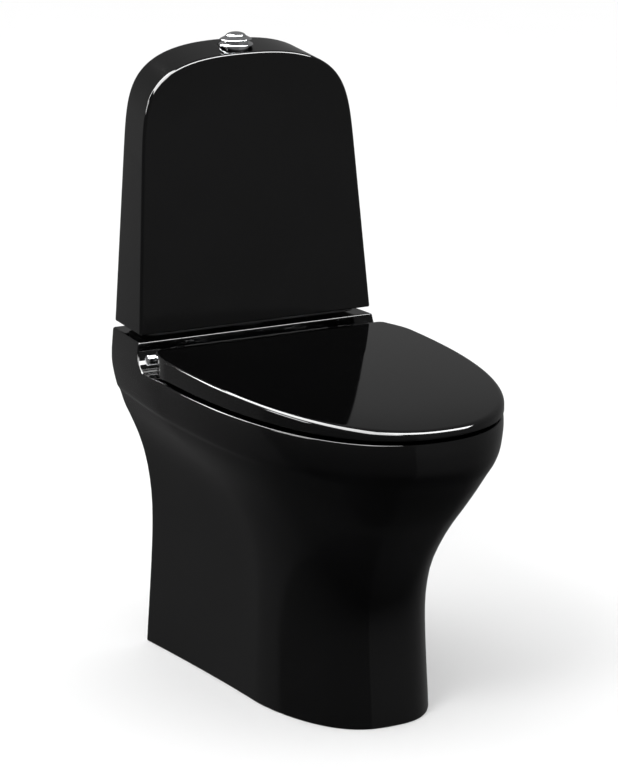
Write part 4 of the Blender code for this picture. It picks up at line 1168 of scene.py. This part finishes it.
@dataclass
class Seat(Hood):
    """Slim wedge-shaped seat ring with a dished opening, and the rubber pads under it."""

    gap: float = 0.0030
    inset: float = 0.0085
    back: float = 0.142
    seat_gap: float = 0.0012
    opening_width: float = 0.228
    opening_back: float = 0.250
    front_width: float = 0.066
    bevel: float = 0.016
    bevel_start: float = 0.0155
    lug_x: float = 0.108
    ease: float = 0.0015

    def opening(self) -> Shape:
        """The hole through the seat, flared into a dish at its top and eased at its bottom."""
        low = RIM_HEIGHT + self.gap
        front = DEPTH + self.lid_inset - self.inset - self.front_width
        half = self.opening_width / 2
        start = RIM_HEIGHT + self.bevel_start
        levels = [(0.003, low - 0.02), (0.003, low), (0.0012, low + 0.0006), (0.0, low + 0.003)]
        levels += [(0.0, start - 0.004), (0.0006, start - 0.001), (0.0020, start + 0.0016),
                   (0.0045, start + 0.0045), (0.0085, start + 0.0085), (self.bevel, start + self.bevel),
                   (self.bevel, low + 0.06)]
        rings = []
        for grow, z in levels:
            outline = Pan.oval(half + grow, self.opening_back - grow, front + grow, count=80)
            rings.append([place(x, r, z) for x, r in outline])
        return Shape().loft(rings)

    def build(self) -> Item:
        """Make the seat's mesh."""
        low = RIM_HEIGHT + self.gap
        outline = self.outline(self.inset, self.back, self.corner)
        seat = self.solid(outline, low, self.wall + self.seat_gap, 0.0022, 0.0012).solid("seat_ring")
        remove(seat, self.opening())
        lug_half = self.lug_width / 2 + self.ease
        post_half = POST_FOOT + self.ease
        for side in (-1, 1):
            for x, half, end in ((LID_LUG_X, lug_half, self.lid_back + 0.016 + self.ease),
                                 (POST_X, post_half, POST_REACH + post_half)):
                remove(seat, Shape().block(place(side * x - half, self.back - 0.05, low - 0.01),
                                           place(side * x + half, end, low + 0.06)))
            add(seat, self.lug(side * self.lug_x, self.back + 0.010, HINGE_HEIGHT - 0.006,
                               HINGE_HEIGHT + 0.004))
        remove(seat, self.bore())
        Shape.of(seat).tidy().back(seat)
        return seat

    def dress(self) -> None:
        """Polish it, and turn the rubber pads."""
        finish_piece(self.build(), "seat_ring", Palette.RESIN, ["seat"])
        low = RIM_HEIGHT + 0.0003
        high = RIM_HEIGHT + self.gap - 0.0003
        for side, hand in HANDS:
            for label, x, reach in (("rear", 0.150, 0.260), ("front", 0.098, 0.520)):
                profile = rounded([(0.0, low), (0.0085, low), (0.009, high), (0.0, high)], 0.0008)
                pad = Shape().turn(profile, place(side * x, reach, 0), steps=40)
                pad = pad.solid(f"pad_{label}_{hand}")
                finish_piece(pad, "seat_ring", Palette.RUBBER, [f"seat_buffer_{label}_{hand}"])


# ---- hinge ---------------------------------------------------------------------------------
@dataclass
class Hinge:
    """Chrome bar with end caps on two posts bolted through the rim."""

    radius: float = 0.0075
    inner_radius: float = 0.0055
    half: float = 0.164
    cap_length: float = 0.0165
    groove: float = 0.0005
    tip_radius: float = 0.0016
    post_half: float = 0.009

    def bar(self) -> Item:
        """The hollow bar."""
        profile = [(self.inner_radius, -self.half), (self.radius, -self.half), (self.radius, self.half),
                   (self.inner_radius, self.half)]
        return Shape().turn(rounded(profile, 0.0004), BAR_CENTRE, Axis.ACROSS).solid("pivot_bar")

    def cap(self, side: int, hand: str) -> Item:
        """An end cap: a plug, a fine shadow groove and a domed end."""
        low = self.half + 0.0003
        end = low + self.cap_length
        plug, sunk = 0.0052, self.radius - self.groove
        profile = [(0.0, low - 0.006), (plug, low - 0.006), (plug, low), (self.radius, low)]
        profile += [(self.radius, low + 0.0030), (sunk, low + 0.0034), (sunk, low + 0.0040),
                    (self.radius, low + 0.0044)]
        for x, y in arc(self.tip_radius, 0.0, 1.0, 5):
            profile.append((self.radius - self.tip_radius + x, end - 0.0020 + y))
        profile += [(self.radius * 0.5, end - 0.0001), (0.0, end)]
        turned = [(r, side * h) for r, h in profile]
        return Shape().turn(turned, BAR_CENTRE, Axis.ACROSS).solid(f"bar_end_{hand}")

    def post(self, side: int, hand: str) -> Item:
        """A post: stud, round foot, web and eye."""
        x = side * POST_X
        base = RIM_HEIGHT + 0.0003
        stud = RIM_HEIGHT - 0.040
        profile = [(0.0, stud), (0.0034, stud), (0.0039, stud + 0.001), (0.0039, base), (POST_FOOT, base),
                   (POST_FOOT, base + 0.003), (POST_FOOT - 0.001, base + 0.004), (0.0, base + 0.004)]
        post = Shape().turn(rounded(profile, 0.0008, (3, 4)), place(x, POST_REACH, 0), steps=48)
        post = post.solid(f"bar_post_{hand}")
        half = self.post_half
        add(post, eye(x, half, 48),
            Shape().block(place(x - half + 0.0005, HINGE_REACH + 0.001, base + 0.002),
                          place(x + half - 0.0005, POST_REACH + 0.006, HINGE_HEIGHT + 0.002)))
        remove(post, disc(self.radius + 0.0003, x - 0.03, x + 0.03, BAR_CENTRE, Axis.ACROSS, 64))
        Shape.of(post).tidy().back(post)
        return post

    def dress(self) -> None:
        """Plate every piece."""
        finish_piece(self.bar(), "root", Palette.CHROME, ["hinge_bar"])
        for side, hand in HANDS:
            finish_piece(self.cap(side, hand), "root", Palette.CHROME, [f"hinge_cap_{hand}"])
            finish_piece(self.post(side, hand), "root", Palette.CHROME, [f"hinge_post_{hand}"])


# ---- flush button --------------------------------------------------------------------------
@dataclass
class FlushButton:
    """Chrome collar, a conical full flush ring and a domed half flush button inside it."""

    collar_radius: float = 0.0240
    collar_height: float = 0.0032
    sleeve_radius: float = 0.0185
    sleeve_length: float = 0.018
    brim_radius: float = 0.0222
    brim_height: float = 0.0052
    dome_radius: float = 0.0138
    dome_height: float = 0.0055
    travel: float = 0.004
    gap: float = 0.0006

    @property
    def flange(self) -> float:
        """Height of the underside of the collar's flange."""
        return BUTTON_LEVEL + 0.0003

    @property
    def under(self) -> float:
        """Height of the sleeve's lower end."""
        return BUTTON_LEVEL - self.sleeve_length

    @property
    def bore(self) -> float:
        """Radius inside the sleeve."""
        return self.sleeve_radius - 0.0015

    @property
    def brim(self) -> float:
        """Height of the underside of the brim."""
        return self.flange + self.collar_height + self.travel + self.gap

    def turned(self, profile: Plan, name: str) -> Item:
        """A piece turned about the button's centre line."""
        return Shape().turn(profile, place(0, BUTTON_REACH, 0), steps=96).solid(name)

    def collar(self) -> Item:
        """The fixed collar with its sleeve."""
        sleeve, rim, low = self.sleeve_radius, self.collar_radius, self.flange
        top = low + self.collar_height
        profile = [(self.bore, self.under), (sleeve, self.under), (sleeve, low), (rim, low),
                   (rim, low + 0.0020), (rim - 0.0015, top), (self.bore, top)]
        return self.turned(rounded(profile, 0.0007, (1, 2)), "flush_collar")

    def ring(self) -> Item:
        """The full flush ring with its side tab."""
        outer = self.bore - self.gap
        inner = self.dome_radius + self.gap
        low = self.brim
        foot = self.under - 0.004
        profile = [(inner, foot), (outer, foot), (outer, low), (self.brim_radius, low),
                   (self.brim_radius, low + 0.0012), (inner, low + self.brim_height)]
        ring = self.turned(rounded(profile, 0.0006, (1, 2)), "full_flush_ring")
        add(ring, Shape().block(place(inner + 0.0004, BUTTON_REACH - 0.004, self.under - 0.0070),
                                place(0.041, BUTTON_REACH + 0.004, self.under - 0.003)))
        Shape.of(ring).tidy().back(ring)
        return ring

    def dome(self) -> Item:
        """The half flush button with its stem."""
        low = self.brim - 0.006
        foot, stem = self.under - 0.006, 0.0035
        profile = [(0.0, foot), (stem, foot), (stem, low), (self.dome_radius, low)]
        for x, y in arc(1.0, 0.0, 1.0, 14):
            profile.append((self.dome_radius * x, self.brim + self.brim_height + self.dome_height * y))
        return self.turned(profile, "half_flush_dome")

    def dress(self) -> None:
        """Plate the three pieces."""
        finish_piece(self.collar(), "cover", Palette.CHROME, ["button_collar"])
        finish_piece(self.ring(), "full_button", Palette.CHROME, ["full_flush_button"])
        finish_piece(self.dome(), "half_button", Palette.CHROME, ["half_flush_button"])


# ---- pieces carried over -------------------------------------------------------------------
@dataclass
class InnerWorks:
    """The tank, valves and fixings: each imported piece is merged, eased along its edges and dressed."""

    ease: float = 0.00035
    by_slot: tuple[tuple[str, Palette], ...] = tuple((p.slot, p) for p in Palette)

    def dress(self) -> None:
        """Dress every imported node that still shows."""
        palette = dict(self.by_slot)
        slots = {row["node"]: row["material_slot"] for row in frame["record"]["subparts"]}
        bodies = {n: body for body, held in frame["record"]["behaviour"]["bodies"].items() for n in held}
        for name, node in sorted(frame["nodes"].items()):
            if not node.hide_render:
                finish_piece(self._eased(name, node), bodies[name], palette[slots[name]], [name], 38.0)

    def _eased(self, name: str, node: Item) -> Item:
        """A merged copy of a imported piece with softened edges."""
        item = Shape.of(node).tidy(radians(0.4)).item(f"{name}_finished")
        modifier = item.modifiers.new("eased edges", "BEVEL")
        modifier.width = self.ease
        modifier.segments = 2
        modifier.limit_method = "ANGLE"
        modifier.angle_limit = radians(40)
        modifier.use_clamp_overlap = True
        return item


# ---- studio --------------------------------------------------------------------------------
def set_up(name: str, data: bpy.types.ID, spot: Triple, heading: Vector) -> Item:
    """Put a light or a camera in the scene.

    Args:
        name: the object's name.
        data: the light or the camera.
        spot: where it stands.
        heading: the way it looks.

    Returns:
        The object.
    """
    item = bpy.data.objects.new(name, data)
    item.location = spot
    item.rotation_mode = "QUATERNION"
    item.rotation_quaternion = heading.to_track_quat("-Z", "Y")
    bpy.context.scene.collection.objects.link(item)
    return item


@dataclass(frozen=True)
class Bank:
    """A rectangular light: a bright panel for the glaze to mirror, or a soft lamp that only lights."""

    name: str
    spot: Triple
    aim: Triple
    size: tuple[float, float]
    power: float
    mirrored: bool

    def hang(self) -> None:
        """Put the light in the studio."""
        data = bpy.data.lights.new(self.name, "AREA")
        data.shape = "RECTANGLE"
        data.size, data.size_y = self.size
        data.energy = self.power
        item = set_up(self.name, data, self.spot, Vector(self.aim) - Vector(self.spot))
        item.visible_camera = False
        item.visible_diffuse = not self.mirrored
        item.visible_glossy = self.mirrored


class Sky(Tree):
    """What the world sends to each kind of ray."""

    def __init__(self, name: str) -> None:
        """Start a world with an open surface."""
        super().__init__(bpy.data.worlds.new(name))
        self.nodes.clear()
        self.surface = self.nodes.new("ShaderNodeOutputWorld").inputs["Surface"]

    def heading(self, part: str) -> Wire:
        """One part of the way that a ray goes: X, Y or Z."""
        way = self.node("ShaderNodeTexCoord", out="Generated")
        return self.node("ShaderNodeSeparateXYZ", None, {0: way}, part)

    def span(self, value: Wire, low: float, high: float, at_low: float, at_high: float,
             kind: str) -> Wire:
        """Turn a value between low and high into one between at_low and at_high."""
        return self.node("ShaderNodeMapRange", {"interpolation_type": kind},
                         {"Value": value, "From Min": low, "From Max": high, "To Min": at_low,
                          "To Max": at_high})

    def light(self, strength: Wire | float) -> Wire:
        """White light of one strength."""
        return self.node("ShaderNodeBackground", None, {"Color": (1.0, 1.0, 1.0), "Strength": strength})

    def instead(self, first: Wire, second: Wire, ray: str) -> Wire:
        """The first light, with the second in its place for one kind of ray."""
        chosen = self.node("ShaderNodeLightPath", out=ray)
        return self.node("ShaderNodeMixShader", None, {0: chosen, 1: first, 2: second})


@dataclass
class Studio:
    """Pale floor, soft lights and the camera."""

    camera_place: Triple = (-2.17003, -3.95745, 1.61800)
    camera_aim: Triple = (0.4596, 0.8507, -0.2552)
    lens: float = 163.64
    even_level: float = 1.25
    dim_below: float = 0.03
    dim_above: float = 0.19
    dim_fade: tuple[float, float] = (-0.7, -0.05)
    front_share: float = 0.60
    front_turn: tuple[float, float] = (-58.0, -52.0)
    floor_size: float = 14.0
    banks: tuple[Bank, ...] = (
        Bank("left_bank", (-0.95, 0.40, 2.45), (-0.95, 0.40, 0.0), (1.5, 4.0), 330.0, True),
        Bank("front_bank", (1.0, -0.64, 2.65), (1.0, -0.64, 0.0), (2.4, 0.92), 170.0, True),
        Bank("rear_left_bank", (-1.95, 3.05, 2.2), (0.0, 0.0, 0.45), (0.7, 1.1), 60.0, True),
        Bank("low_left_bank", (-3.4, 1.1, 2.1), (0.0, 0.0, 0.45), (1.5, 0.9), 60.0, True),
        Bank("key", (-2.4, -1.6, 3.4), (0.0, 0.0, 0.4), (1.3, 1.3), 50.0, False),
    )

    def floor(self) -> None:
        """A large plain floor, kept out of the glaze's reflections."""
        shape = Shape()
        bmesh.ops.create_grid(shape.bm, x_segments=8, y_segments=8, size=self.floor_size)
        item = shape.solid("studio_floor")
        item.data.materials.append(Floor().make())
        item.visible_glossy = False

    def camera(self) -> None:
        """The camera."""
        data = bpy.data.cameras.new("camera")
        data.lens = self.lens
        data.sensor_width = 36.0
        data.clip_end = 100.0
        bpy.context.scene.camera = set_up("camera", data, self.camera_place, Vector(self.camera_aim))

    def world(self) -> None:
        """White behind the object, even light on matt surfaces, a dim room for the reflections."""
        sky = Sky("studio")
        dim_low, dim_high = self.dim_fade
        turn_low, turn_high = (radians(angle) for angle in self.front_turn)
        fade = sky.span(sky.heading("Z"), dim_low, dim_high, self.dim_below, self.dim_above, "LINEAR")
        turn = sky.node("ShaderNodeMath", {"operation": "ARCTAN2"},
                        {0: sky.heading("X"), 1: sky.heading("Y")})
        side = sky.span(turn, turn_low, turn_high, self.front_share, 1.0, "SMOOTHSTEP")
        shown = sky.light(fade * side)
        shown = sky.instead(shown, sky.light(self.even_level), "Is Diffuse Ray")
        shown = sky.instead(shown, sky.light(1.0), "Is Camera Ray")
        sky.feed(sky.surface, shown)
        bpy.context.scene.world = sky.owner

    def build(self) -> None:
        """Set up the whole studio."""
        self.floor()
        self.camera()
        self.world()
        for bank in self.banks:
            bank.hang()
        bpy.context.scene.view_settings.view_transform = "Standard"
        bpy.context.scene.view_settings.look = "None"


def main() -> None:
    """Build and dress every sub-assembly in order."""
    for part in (Pan(), Cistern(), Seat(), Lid(), Hinge(), FlushButton(), InnerWorks()):
        log.info("-- %s", type(part).__name__)
        part.dress()
    Studio().build()


if __name__ == "__main__":
    main()
